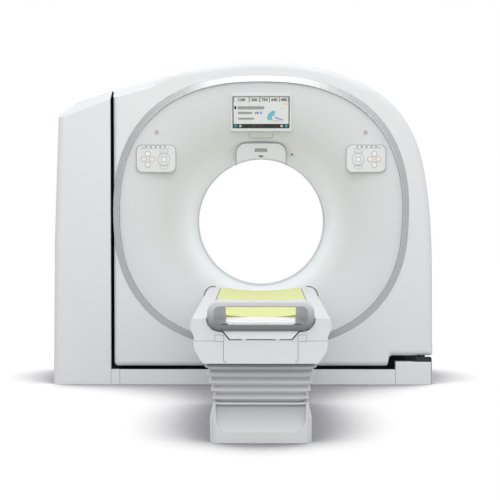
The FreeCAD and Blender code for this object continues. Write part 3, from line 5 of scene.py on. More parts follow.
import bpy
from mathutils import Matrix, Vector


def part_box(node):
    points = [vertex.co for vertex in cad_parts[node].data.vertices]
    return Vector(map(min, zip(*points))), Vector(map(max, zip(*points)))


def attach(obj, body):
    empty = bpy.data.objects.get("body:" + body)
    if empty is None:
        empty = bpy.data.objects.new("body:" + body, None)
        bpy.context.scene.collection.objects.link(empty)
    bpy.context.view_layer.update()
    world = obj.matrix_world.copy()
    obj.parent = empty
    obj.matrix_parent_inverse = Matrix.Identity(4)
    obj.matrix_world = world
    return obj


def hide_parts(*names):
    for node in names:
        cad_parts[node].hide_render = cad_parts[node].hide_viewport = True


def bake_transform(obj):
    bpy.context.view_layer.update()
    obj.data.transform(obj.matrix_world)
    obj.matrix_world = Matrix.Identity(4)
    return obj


bl_info = {
    "name": "CT scanner dressing",
    "version": (1, 0, 0),
    "blender": (4, 5, 0),
    "location": "3D View > Sidebar > Scanner",
    "description": "Finishes, small marks, soft parts and studio stage for a CT scanner",
    "category": "Object",
}

import math
import bmesh
import bpy
from bpy.props import FloatProperty, FloatVectorProperty, IntProperty, PointerProperty
from bpy.types import Operator, Panel, PropertyGroup
from mathutils import Matrix, Vector

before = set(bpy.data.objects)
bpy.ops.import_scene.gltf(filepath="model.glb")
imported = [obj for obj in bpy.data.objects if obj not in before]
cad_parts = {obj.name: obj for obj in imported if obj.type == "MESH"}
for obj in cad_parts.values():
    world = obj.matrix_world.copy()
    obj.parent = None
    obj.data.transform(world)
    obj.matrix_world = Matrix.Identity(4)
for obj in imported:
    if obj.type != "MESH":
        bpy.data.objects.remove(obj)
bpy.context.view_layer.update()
TILTING = "gantry_tilting_part"
LIFTED = "table_lift_stage"
SLIDING = "cradle_carriage"
AHEAD = Vector((0, -1, 0))
FRONT_FACE = -0.430             # front of the covers along Y
POD_FACE = -0.428
POD_X, POD_Z = 0.597, 1.288
SCREEN_AT, SCREEN_LEAN = (0, -0.408, 1.551), math.radians(12.0)
HOLLOW_Z, HOLLOW_RISE, HOLLOW_HALF = 0.526, 0.022, 0.225    # the cradle's hollow: lowest height, rise, half width
PODS = {"left_pod": -1, "right_pod": 1}
KEYS = ["top", "outer", "inner", "low", "centre"]


def colour(label, words, value):
    return FloatVectorProperty(name=label, description=words, subtype="COLOR", size=3, min=0.0, max=1.0,
                               default=value)


def length(label, words, value):
    return FloatProperty(name=label, description=words, subtype="DISTANCE", unit="LENGTH", default=value)


def power(label, words, value):
    return FloatProperty(name=label, description=words, default=value)


# ---- what a user would change ----
class ScannerFinishes(PropertyGroup):
    cover: colour("Covers", "Moulded outer covers", (0.745, 0.75, 0.755))
    funnel: colour("Funnel", "Dished surface round the opening", (0.68, 0.685, 0.695))
    throat: colour("Throat", "Inside of the patient opening", (0.76, 0.785, 0.79))
    ring: colour("Ring", "Trim ring round the dish", (0.42, 0.423, 0.428))
    pod: colour("Control pods", "Face of the two control pods", (0.72, 0.725, 0.73))
    table: colour("Table", "Table body and pedestal", (0.70, 0.705, 0.71))
    cradle: colour("Cradle", "Sliding table top", (0.82, 0.825, 0.82))
    mat: colour("Mat", "Pad on the cradle", (0.70, 0.75, 0.23))
    handle: colour("Handle", "Upper side of the loop handle", (0.64, 0.643, 0.647))
    # painted shade: the handle's lower side gets a darker colour, standing in for the shade under its lower bar
    handle_low_painted_shade: colour("Handle, painted shade", "Painted shade on the lower side of the loop handle", (0.125, 0.126, 0.128))
    bellows: colour("Bellows", "Pleated skirt of the lift", (0.65, 0.65, 0.655))
    # painted shade: the flanks that face the gaps get this dark colour, so the gaps read dark
    gap: colour("Gap shade", "Painted shade on the flanks that face seams and gaps", (0.012, 0.012, 0.013))
    grain: FloatProperty(name="Grain", description="Depth of the moulded grain", min=0.0, max=1.0, default=0.12)


class ScannerSizes(PropertyGroup):
    seam: length("Seam width", "Width of the fine seams between covers", 0.0016)
    key_ring: length("Key outline", "Width of the grey outline round each key", 0.0048)
    mat_thickness: length("Mat thickness", "Thickness of the pad", 0.011)
    mat_round: length("Mat edge", "Rounding of the pad's edges", 0.0035)
    half_folds: IntProperty(name="Half folds", description="Slopes of the bellows, from foot to top", min=3, max=21,
                            default=10)
    pleat_depth: length("Pleat depth", "Fold depth of the bellows", 0.020)


class ScannerStage(PropertyGroup):
    camera_at: FloatVectorProperty(name="Camera", description="Camera position", subtype="XYZ", unit="LENGTH",
                                   size=3, default=(0.003, -9.26, 1.082))
    look_down: FloatProperty(name="Look down", description="Camera pitch", subtype="ANGLE", unit="ROTATION",
                             default=math.radians(2.036))
    look_left: FloatProperty(name="Look left", description="Camera turn", subtype="ANGLE", unit="ROTATION",
                             default=math.radians(0.426))
    lens: FloatProperty(name="Lens", description="Focal length in millimetres", min=10.0, default=111.7)
    overhead: power("Overhead light", "Power of the overhead panel", 54.0)
    front: power("Front light", "Strength of the broad light from the front", 0.18)
    shine: power("Ring light", "Power of the panel the trim ring mirrors", 78.0)
    key: power("Table light", "Power of the panel over the table", 24.0)
    sides: power("Side lights", "Power of each side panel", 6.0)
    sky: power("Sky", "Strength of the even light", 0.78)
    shade_reach: length("Shade reach", "How far the soft contact shade spreads on the floor", 0.80)


# ---- shader nodes ----
def fill(tree, node, values):
    """Gives sockets, by name or number, their link or plain value."""
    for label, value in values.items():
        socket = node.inputs[label]
        if hasattr(value, "is_output"):
            tree.links.new(value, socket)
        else:
            socket.default_value = (*value, 1.0) if socket.type == "RGBA" else value


def add(tree, kind, values=(), **settings):
    """New node with its settings and filled sockets."""
    node = tree.nodes.new(f"ShaderNode{kind}")
    for label, value in settings.items():
        setattr(node, label, value)
    fill(tree, node, dict(values))
    return node


def noise(tree, scale, detail=3.0, roughness=0.5, stretch=None):
    """Noise in the piece's own coordinates."""
    vector = add(tree, "TexCoord").outputs["Object"]
    if stretch:
        vector = add(tree, "Mapping", {"Scale": stretch, "Vector": vector}).outputs["Vector"]
    return add(tree, "TexNoise", {"Scale": scale, "Detail": detail, "Roughness": roughness,
                                  "Vector": vector}).outputs["Fac"]


def spread(tree, source, low, high):
    """Maps 0.35..0.65 of a noise to low..high."""
    return add(tree, "MapRange", {"Value": source, "From Min": 0.35, "From Max": 0.65, "To Min": low,
                                  "To Max": high}).outputs["Result"]


def arithmetic(tree, kind, *values):
    return add(tree, "Math", enumerate(values), operation=kind).outputs[0]


def product(tree, first, *others):
    for other in others:
        first = arithmetic(tree, "MULTIPLY", first, other)
    return first


def dot(tree, a, b):
    return add(tree, "VectorMath", {0: a, 1: b}, operation="DOT_PRODUCT").outputs["Value"]


def mixed(tree, factor, a, b, blend="MIX"):
    """Mix of two colours, which are the node's inputs 6 and 7 and its output 2."""
    return add(tree, "Mix", {0: factor, 6: a, 7: b}, data_type="RGBA", blend_type=blend).outputs[2]


def dyed(tree, colour_in, tone):
    """Colour times a grey tone."""
    grey = add(tree, "CombineColor", {"Red": tone, "Green": tone, "Blue": tone})
    return mixed(tree, 1.0, colour_in, grey.outputs["Color"], "MULTIPLY")


# ---- shader node groups ----
def shared(name, inputs):
    """Turns build(group, given), which gives the outputs by name, into a function for that group, made once."""
    def wrap(build):
        def group_made_once():
            if name not in bpy.data.node_groups:
                group = bpy.data.node_groups.new(name, "ShaderNodeTree")
                for label, value in inputs.items():
                    kind = "Float" if isinstance(value, float) else {3: "Vector", 4: "Color"}[len(value)]
                    socket = group.interface.new_socket(label, in_out="INPUT", socket_type=f"NodeSocket{kind}")
                    socket.default_value = value
                results = build(group, group.nodes.new("NodeGroupInput").outputs)
                for label, value in results.items():
                    kind = "Color" if value.type == "RGBA" else "Float"
                    group.interface.new_socket(label, in_out="OUTPUT", socket_type=f"NodeSocket{kind}")
                fill(group, group.nodes.new("NodeGroupOutput"), results)
            return bpy.data.node_groups[name]
        return group_made_once
    return wrap


PALE = (0.8, 0.8, 0.8, 1)
FACING = 0.6            # least cosine between a face's normal and the side it counts for
LEVEL_REACH = 0.004     # how far from its level a flank still counts


@shared("Moulded skin", {"Colour": PALE, "Drift": 0.02, "Roughness": 0.4, "Sheen Spread": 0.06})
def moulded_group(group, given):
    """Moulded plastic: faint tone drift, uneven sheen and a fine grain."""
    tone = spread(group, noise(group, 1.7, 4.0), arithmetic(group, "SUBTRACT", 1.0, given["Drift"]), 1.0)
    high = arithmetic(group, "ADD", given["Roughness"], given["Sheen Spread"])
    return {"Colour": dyed(group, given["Colour"], tone),
            "Roughness": spread(group, noise(group, 9.0, 5.0, 0.6), given["Roughness"], high),
            "Height": noise(group, 850.0, 2.0, 0.55)}


@shared("Worked metal", {"Colour": (0.6, 0.6, 0.6, 1), "Stain": 0.12, "Roughness": 0.35})
def metal_group(group, given):
    """Machined or cast metal: fine streaks, and darker stains in patches."""
    tone = spread(group, noise(group, 6.0, 5.0, 0.6), arithmetic(group, "SUBTRACT", 1.0, given["Stain"]), 1.0)
    streak = noise(group, 60.0, 3.0, 0.6, (1.0, 1.0, 22.0))
    high = arithmetic(group, "ADD", given["Roughness"], 0.14)
    return {"Colour": dyed(group, given["Colour"], tone),
            "Roughness": spread(group, streak, given["Roughness"], high), "Height": streak}


@shared("Painted flank shade", {"Colour": PALE, "Dark": (0.02, 0.02, 0.02, 1), "Side": (1, 0, 0), "Level": 0.0,
                       "Start": 0.0, "End": 9.0})
def painted_flank_shade_group(group, given):
    """Paints shade on one flank: faces that look along Side and lie at Level, from Start to End along Y."""
    place = add(group, "TexCoord").outputs
    facing = arithmetic(group, "GREATER_THAN", dot(group, place["Normal"], given["Side"]), FACING)
    away = arithmetic(group, "SUBTRACT", dot(group, place["Object"], given["Side"]), given["Level"])
    near = arithmetic(group, "LESS_THAN", arithmetic(group, "ABSOLUTE", away), LEVEL_REACH)
    along = add(group, "SeparateXYZ", {0: place["Object"]}).outputs["Y"]
    behind = arithmetic(group, "GREATER_THAN", along, given["Start"])
    before = arithmetic(group, "LESS_THAN", along, given["End"])
    mask = product(group, facing, near, behind, before)
    return {"Colour": mixed(group, mask, given["Colour"], given["Dark"])}


@shared("Hollow shade", {"Colour": PALE, "Dark": (0.4, 0.4, 0.4, 1), "Side": (0, -1, 0), "Start": 0.0, "End": 1.0,
                         "Last": 1.0})
def painted_hollow_shade_group(group, given):
    """Painted shade: darkens faces that look along Side, more and more from Start to End, and none deeper than Last.
    """
    place = add(group, "TexCoord").outputs
    depth = arithmetic(group, "MULTIPLY", dot(group, place["Object"], given["Side"]), -1.0)
    share = add(group, "MapRange", {"Value": depth, "From Min": given["Start"], "From Max": given["End"]})
    facing = arithmetic(group, "GREATER_THAN", dot(group, place["Normal"], given["Side"]), FACING)
    before = arithmetic(group, "LESS_THAN", depth, given["Last"])
    mask = product(group, share.outputs["Result"], facing, before)
    return {"Colour": mixed(group, mask, given["Colour"], given["Dark"])}


@shared("Painted light and shade gradient", {"Colour": PALE, "Far Colour": PALE, "Along": (0, 0, 1), "Start": 0.0, "End": 1.0})
def painted_light_and_shade_gradient_group(group, given):
    """Painted light and shade: blends two colours along one direction, from Start to End."""
    reach = dot(group, add(group, "TexCoord").outputs["Object"], given["Along"])
    share = add(group, "MapRange", {"Value": reach, "From Min": given["Start"], "From Max": given["End"]},
                interpolation_type="SMOOTHSTEP")
    return {"Colour": mixed(group, share.outputs["Result"], given["Colour"], given["Far Colour"])}


# ---- materials ----
def blank(name):
    """New node material, its tree and its Principled shader."""
    material = bpy.data.materials.new(name)
    material.use_nodes = True
    tree = material.node_tree
    return material, tree, next(n for n in tree.nodes if n.type == "BSDF_PRINCIPLED")


def grouped(tree, group, *values):
    """Outputs of a new node of a shader group, with its inputs in order."""
    return add(tree, "Group", enumerate(values), node_tree=group()).outputs


def bumped(tree, shader, height, strength, distance):
    bump = add(tree, "Bump", {"Strength": strength, "Distance": distance, "Height": height})
    tree.links.new(bump.outputs["Normal"], shader.inputs["Normal"])


def moulded(name, tone, roughness=0.42, drift=0.02, spread_by=0.06, coat=0.0, specular=0.5, metallic=0.0, layers=()):
    """Moulded plastic or paint; each layer is a group that recolours a part of it, and its inputs after Colour."""
    material, tree, shader = blank(name)
    skin = grouped(tree, moulded_group, tone, drift, roughness, spread_by)
    base = skin["Colour"]
    for group, *values in layers:
        base = grouped(tree, group, base, *values)["Colour"]
    fill(tree, shader, {"Base Color": base, "Roughness": skin["Roughness"], "Specular IOR Level": specular,
                        "Metallic": metallic})
    if coat:
        fill(tree, shader, {"Coat Weight": coat, "Coat Roughness": 0.12})
    bumped(tree, shader, skin["Height"], bpy.context.scene.scanner_finishes.grain, 0.0004)
    return material


def metal(name, tone, roughness=0.35, stain=0.12, metallic=1.0):
    material, tree, shader = blank(name)
    work = grouped(tree, metal_group, tone, stain, roughness)
    fill(tree, shader, {"Base Color": work["Colour"], "Roughness": work["Roughness"], "Metallic": metallic})
    bumped(tree, shader, work["Height"], 0.08, 0.0003)
    return material


def lit(name, tone, strength=0.0, roughness=0.25):
    """Small lens or screen field: glossy, with a little light of its own."""
    material, tree, shader = blank(name)
    skin = grouped(tree, moulded_group, tone, 0.03, roughness, 0.05)
    fill(tree, shader, {"Base Color": skin["Colour"], "Roughness": skin["Roughness"]})
    if strength:
        fill(tree, shader, {"Emission Color": skin["Colour"], "Emission Strength": strength})
    return material


def mat_vinyl(name, tone):
    """Coated foam pad: soft sheen and a fine leather-like grain, with painted shade on its near end face."""
    material, tree, shader = blank(name)
    skin = grouped(tree, moulded_group, tone, 0.05, 0.46, 0.10)
    cells = add(tree, "TexVoronoi", {"Scale": 420.0, "Vector": add(tree, "TexCoord").outputs["Object"]})
    height = arithmetic(tree, "ADD", arithmetic(tree, "MULTIPLY", cells.outputs["Distance"], 0.35),
                        arithmetic(tree, "MULTIPLY", noise(tree, 14.0, 4.0, 0.55, (1.0, 0.35, 1.0)), 1.2))
    # painted shade: the pad's end face at the foot end gets a dark olive colour
    base = grouped(tree, painted_flank_shade_group, skin["Colour"], (0.36, 0.37, 0.02), (0.0, -1.0, 0.0), 2.350, -9.0)["Colour"]
    fill(tree, shader, {"Base Color": base, "Roughness": skin["Roughness"], "Sheen Weight": 0.15,
                        "Sheen Roughness": 0.4})
    bumped(tree, shader, height, 0.25, 0.0010)
    return material


def bellows_skin(name, tone):
    """Coated cloth of the bellows: dull, with a woven grain, painted light on the crests and painted shade in the
    valleys.
    """
    material, tree, shader = blank(name)
    height = add(tree, "SeparateXYZ", {0: add(tree, "TexCoord").outputs["Generated"]}).outputs["Z"]
    folds = arithmetic(tree, "MULTIPLY", height, float(bpy.context.scene.scanner_sizes.half_folds))
    crest = arithmetic(tree, "SMOOTH_MIN", arithmetic(tree, "PINGPONG", folds, 1.0), 0.85)
    # painted light and shade: lighter on the crests and darker in the valleys of the folds
    crest_light_valley_shade = mixed(tree, crest, [c * 0.60 for c in tone], [min(c * 1.24, 0.9) for c in tone])
    skin = grouped(tree, moulded_group, crest_light_valley_shade, 0.06, 0.60, 0.12)
    fill(tree, shader, {"Base Color": skin["Colour"], "Roughness": skin["Roughness"], "Sheen Weight": 0.1})
    bumped(tree, shader, noise(tree, 700.0, 2.0, 0.5, (1.0, 1.0, 2.2)), 0.2, 0.0004)
    return material


MADE = {}


def finish(name):
    """Material of that name, made once."""
    if name not in MADE:
        MADE[name] = FINISHES[name](bpy.context.scene.scanner_finishes)
    return MADE[name]


def gap_shade_flanks(f, *flanks):
    """Layers of painted shade for the flanks that face a gap, each with its side, level, start and end."""
    return [(painted_flank_shade_group, f.gap, *flank) for flank in flanks]


FINISHES = {
    # painted shade on the cover flanks that face the gaps round the tilting part, the columns, the base and the foot
    "tilting_cover": lambda f: moulded("Tilting covers", f.cover, layers=gap_shade_flanks(
        f, ((-1.0, 0.0, 0.0), 0.842, -0.4245, 9.0), ((0.0, 0.0, -1.0), -0.102, -0.4245, 9.0))),
    "column_cover": lambda f: moulded("Column covers", f.cover, layers=gap_shade_flanks(
        f, ((1.0, 0.0, 0.0), -0.8555, -0.4245, 9.0))),
    "base_cover": lambda f: moulded("Base covers", f.cover, layers=gap_shade_flanks(
        f, ((0.0, 0.0, 1.0), 0.086, -0.4235, 0.39))),
    "foot_cover": lambda f: moulded("Foot covers", f.cover, layers=gap_shade_flanks(
        f, ((0.0, -1.0, 0.0), -0.395, -0.4, 9.0))),
    # painted light: the dish grows paler and cooler towards the throat, standing in for light that reaches deep into
    # it
    "funnel": lambda f: moulded("Dish", f.funnel, 0.34, 0.015, 0.05, layers=[
        (painted_light_and_shade_gradient_group, (0.93, 0.95, 0.98), (0.0, 1.0, 0.0), -0.37, -0.23)]),
    "throat": lambda f: moulded("Throat", f.throat, 0.60, 0.012, 0.05, specular=0.15),
    "scan_window": lambda f: moulded("Scan window", [c * 0.97 for c in f.throat], 0.45, 0.01, 0.03, specular=0.3),
    "ring": lambda f: moulded("Trim ring", f.ring, 0.24, 0.02, 0.05, metallic=0.75),
    "laser_cover": lambda f: moulded("Laser unit cover", [c * 0.93 for c in f.funnel], 0.34, 0.015, 0.05),
    "display_frame": lambda f: moulded("Display frame", f.cover, 0.36, 0.02, 0.05),
    "pod": lambda f: moulded("Pod face", f.pod, 0.40, 0.02, 0.06),
    "table": lambda f: moulded("Table covers", f.table),
    # painted shade in the scoop at the foot of the pedestal, darker the deeper it lies
    "pedestal": lambda f: moulded("Pedestal cover", f.table, layers=[
        (painted_hollow_shade_group, [c * 0.55 for c in f.table], (0.0, -1.0, 0.0), -2.5285, -2.480, -2.440)]),
    "cradle": lambda f: moulded("Cradle shell", f.cradle, 0.26, 0.01, 0.06, coat=0.3),
    "mat": lambda f: mat_vinyl("Mat", f.mat),
    # painted shade: the handle darkens towards the bottom, from its own colour on top to the painted shade low down
    "handle": lambda f: moulded("Handle", f.handle_low_painted_shade, 0.36, 0.02, 0.06, layers=[
        (painted_light_and_shade_gradient_group, f.handle, (0.0, 0.0, 1.0), 0.495, 0.648)]),
    # the recess takes a tone halfway between the handle's colour and the painted shade of its lower side
    "recess": lambda f: moulded("Handle recess", [(a + b) / 2 for a, b in zip(f.handle, f.handle_low_painted_shade)], 0.4),
    "bellows": lambda f: bellows_skin("Bellows skirt", f.bellows),
}
# one row each for the plain skins, the metals, and the lenses and screen fields: what their maker is given
PLAIN = {
    "key": ("Key caps", (0.86, 0.86, 0.86), 0.30, 0.01, 0.05, 0.2),
    "key_warm": ("Warm key caps", (0.87, 0.80, 0.785), 0.30, 0.01, 0.05, 0.2),
    "key_outline": ("Key outlines", (0.48, 0.48, 0.48), 0.5, 0.05),
    "key_outline_warm": ("Warm key outlines", (0.58, 0.46, 0.455), 0.5, 0.05),
    "key_sign": ("Key signs", (0.52, 0.52, 0.52), 0.5, 0.05),
    "lamp_band": ("Lamp band", (0.36, 0.365, 0.36), 0.4, 0.05),
    "mark_dark": ("Small openings", (0.14, 0.142, 0.146), 0.5, 0.1),
    "joint": ("Joint gasket", (0.24, 0.242, 0.244), 0.5, 0.06),
    "guard": ("Gloss guard", (0.014, 0.0145, 0.015), 0.30, 0.1, 0.05, 0.0, 0.35),
    "pod_rim": ("Pod rim", (0.40, 0.402, 0.404), 0.5, 0.04),
    "seam": ("Seam", (0.22, 0.222, 0.225), 0.6, 0.1),
    "hatch_line": ("Hatch line", (0.37, 0.372, 0.375), 0.6, 0.1),
    "seam_dark": ("Dark seam", (0.10, 0.10, 0.102), 0.6, 0.1),
    "bellows_frame": ("Bellows frame", (0.10, 0.10, 0.105), 0.55, 0.1),
    "belt": ("Drive belt", (0.02, 0.02, 0.02), 0.7, 0.3, 0.15),
}
METALS = {
    "steel_paint": ("Painted steel", (0.045, 0.047, 0.05), 0.45, 0.2, 0.0),
    "cast_alloy": ("Cast alloy", (0.58, 0.59, 0.60), 0.42),
    "ground_steel": ("Ground steel", (0.62, 0.62, 0.63), 0.24),
    "motor": ("Motor paint", (0.07, 0.075, 0.085), 0.4, 0.2, 0.0),
    "case_alloy": ("Electronics case", (0.50, 0.51, 0.53), 0.38, 0.1),
    "tube_paint": ("Tube housing", (0.66, 0.665, 0.67), 0.35, 0.1, 0.0),
}
LIT = {
    "lamp": ("Lamp lens", (0.80, 0.81, 0.83), 0.03), "lamp_green": ("Green lamp lens", (0.56, 0.74, 0.47), 0.04),
    "sensor": ("Sensor lens", (0.50, 0.40, 0.395)), "window_dark": ("Laser window", (0.24, 0.243, 0.248), 0.0, 0.14),
    "screen_edge": ("Screen edge", (0.13, 0.135, 0.14)),
    "screen_pale": ("Screen pale field", (0.74, 0.745, 0.75), 0.04),
    "screen_band": ("Screen head band", (0.30, 0.302, 0.305), 0.01),
    "screen_grey": ("Screen grey dot", (0.52, 0.522, 0.525), 0.02),
    "screen_mid": ("Screen bars", (0.33, 0.332, 0.335), 0.01),
    "screen_mid_soft": ("Screen soft shade", (0.55, 0.552, 0.555), 0.02),
    "screen_dim": ("Screen dim marks", (0.06, 0.061, 0.062)),
    "screen_rose": ("Screen rose", (0.66, 0.50, 0.50), 0.03),
    "screen_black": ("Screen black", (0.008, 0.008, 0.009)), "screen_ink": ("Screen numbers", (0.035, 0.035, 0.037)),
    "screen_blue": ("Screen blue", (0.13, 0.28, 0.72), 0.10),
    "screen_amber": ("Screen amber", (0.80, 0.55, 0.20), 0.10),
    "screen_teal": ("Screen teal", (0.045, 0.24, 0.27), 0.04),
    "screen_teal_soft": ("Screen soft teal", (0.16, 0.47, 0.57), 0.05),
    "screen_slate": ("Screen slate", (0.26, 0.30, 0.33), 0.01),
}
for maker, rows in ((moulded, PLAIN), (metal, METALS), (lit, LIT)):
    FINISHES.update({name: lambda f, maker=maker, row=row: maker(*row) for name, row in rows.items()})

WEARS = {
    "tilting_cover": ["front_cover", "rear_cover", "arch_cover", "left_side_cover", "bottom_cover"],
    "column_cover": ["column_front_cover", "column_rear_cover"],
    "base_cover": ["base_covers"], "foot_cover": ["right_foot_covers"],
    "funnel": ["front_funnel", "rear_funnel"], "throat": ["bore_liner"], "scan_window": ["scan_window"],
    "ring": ["ring_trim"], "laser_cover": ["laser_unit_cover"], "display_frame": ["display_bezel"],
    "screen_edge": ["display_screen"], "pod": ["left_pod", "right_pod"], "sensor": ["motion_sensors"],
    "table": ["table_top_cover", "table_lower_cover"], "pedestal": ["pedestal_cover"], "cradle": ["cradle"],
    "mat": ["mat"], "handle": ["cradle_handle"], "bellows": ["lift_bellows"],
    "bellows_frame": ["bellows_upper_frame"],
    "steel_paint": ["gantry_base_frame", "table_base_plate", "table_chassis"],
    "cast_alloy": ["tilt_frame", "rotor_frame"],
    "ground_steel": ["bearing_outer_race", "bearing_inner_race", "tilt_bearings", "cradle_rails"],
    "belt": ["drive_belt"], "motor": ["tilt_gear_motor", "drive_motor"],
    "case_alloy": ["power_cabinet", "high_voltage_generator", "data_and_power_unit", "detector", "slip_ring",
                   "motor_pulley", "lift_column_outer", "lift_column_middle", "lift_column_inner"],
    "tube_paint": ["xray_tube_and_collimator"],
}


# ---- mesh helpers ----
def placed(name, data):
    thing = bpy.data.objects.new(name, data)
    bpy.context.scene.collection.objects.link(thing)
    return thing


def piece(name, bm, finish_name, body, smooth=0.6):
    """Turns a bmesh into a finished piece that rides on a body."""
    bmesh.ops.recalc_face_normals(bm, faces=bm.faces)
    mesh = bpy.data.meshes.new(name)
    bm.to_mesh(mesh)
    bm.free()
    thing = placed(name, mesh)
    mesh.materials.append(finish(finish_name))
    mesh.shade_smooth()
    mesh.set_sharp_from_angle(angle=smooth)
    if body:
        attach(thing, body)
    return thing


def arc(cx, cz, across, up, degrees):
    """Points of an ellipse's arc at the given degrees."""
    return [(cx + across * math.cos(math.radians(a)), cz + up * math.sin(math.radians(a))) for a in degrees]


def rounded_outline(x0, x1, z0, z1, radius, steps=5):
    """Corner points of a rounded rectangle, anticlockwise."""
    radius = min(radius, (x1 - x0) / 2 - 1e-6, (z1 - z0) / 2 - 1e-6)
    points = []
    for cx, cz, start in ((x1 - radius, z0 + radius, -90), (x1 - radius, z1 - radius, 0),
                          (x0 + radius, z1 - radius, 90), (x0 + radius, z0 + radius, 180)):
        points += arc(cx, cz, radius, radius, [start + 90 * i / steps for i in range(steps + 1)])
    return points


def disc_outline(x, z, radius, steps=28):
    return arc(x, z, radius, radius, [360 * i / steps for i in range(steps)])


def mirrored(line):
    """Points of a line that ends near x = 0, and its mirror image after it."""
    return line + [(-x, z) for x, z in reversed(line)]


def upright(y):
    """Places (x, depth, z) on an upright face at y."""
    return lambda x, depth, z: Vector((x, y + depth, z))


def loft(bm, rings, ends=True, turned=False):
    """Faces between rings of as many points, turned to look inwards, and over the first and the last ring."""
    for a, b in zip(rings, rings[1:]):
        for i in range(len(a)):
            j = (i + 1) % len(a)
            bm.faces.new((a[j], a[i], b[i], b[j]) if turned else (a[i], a[j], b[j], b[i]))
    if ends:
        bm.faces.new(rings[0])
        bm.faces.new(list(reversed(rings[-1])))


def add_tile(bm, outline, place, thick, bevel=0.0):
    """Closed tile from an outline (x, z): its front at depth 0 and its back at thick, with an eased edge."""
    cx, cz = [sum(values) / len(outline) for values in zip(*outline)]
    size = max(max(abs(x - cx), abs(z - cz)) for x, z in outline)
    front = [(0.0, 1 - bevel / size), (bevel, 1.0)] if bevel else [(0.0, 1.0)]
    loft(bm, [[bm.verts.new(place(cx + (x - cx) * share, depth, cz + (z - cz) * share)) for x, z in outline]
              for depth, share in front + [(thick, 1.0)]])


def tiles(name, outlines, place, thick, finish_name, body, bevel=0.0):
    """One piece made of tiles."""
    bm = bmesh.new()
    for outline in outlines:
        add_tile(bm, outline, place, thick, bevel)
    return piece(name, bm, finish_name, body)


def add_band(bm, outer, inner, place, thick):
    """Closed flat band between two outlines with as many points."""
    rings = [[bm.verts.new(place(x, d, z)) for x, z in line]
             for line, d in ((outer, 0.0), (inner, 0.0), (inner, thick), (outer, thick))]
    loft(bm, rings + rings[:1], ends=False)


def strip(bm, points, side, width, thick):
    """Closed strip along points, width across side, thick against the surface's normal."""
    rings = []
    for i, point in enumerate(points):
        ahead = points[min(i + 1, len(points) - 1)] - points[max(i - 1, 0)]
        out = side(point) if callable(side) else side
        across = ahead.cross(out).normalized() * (width / 2)
        rings.append([bm.verts.new(point + s * across + d * out) for s, d in
                      ((-1, 0.0002), (1, 0.0002), (1, -thick), (-1, -thick))])
    loft(bm, rings)


def on_surface(node, x, z):
    """First point of a CAD node met when looking along +Y at (x, z), and its normal."""
    hit, where, normal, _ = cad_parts[node].ray_cast(Vector((x, -3.0, z)), Vector((0, 1, 0)))
    if not hit:
        raise RuntimeError(f"{node} has no surface at {x:.3f}, {z:.3f}")
    return where, normal


# ---- pieces ----
class SCANNER_OT_finishes(Operator):
    """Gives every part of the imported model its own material"""
    bl_idname = "scanner.finishes"
    bl_label = "Finishes"

    def execute(self, context):
        wears = {node: name for name, nodes in WEARS.items() for node in nodes}
        for pod in PODS:
            for key in KEYS:
                warm = key in ("outer", "inner")
                wears[f"{pod}_button_{key}"] = "key_warm" if warm else "key"
        for node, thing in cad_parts.items():
            if node not in wears:
                raise RuntimeError(f"no finish is named for {node}")
            for slot in thing.material_slots:
                slot.material = finish(wears[node])
        return {"FINISHED"}


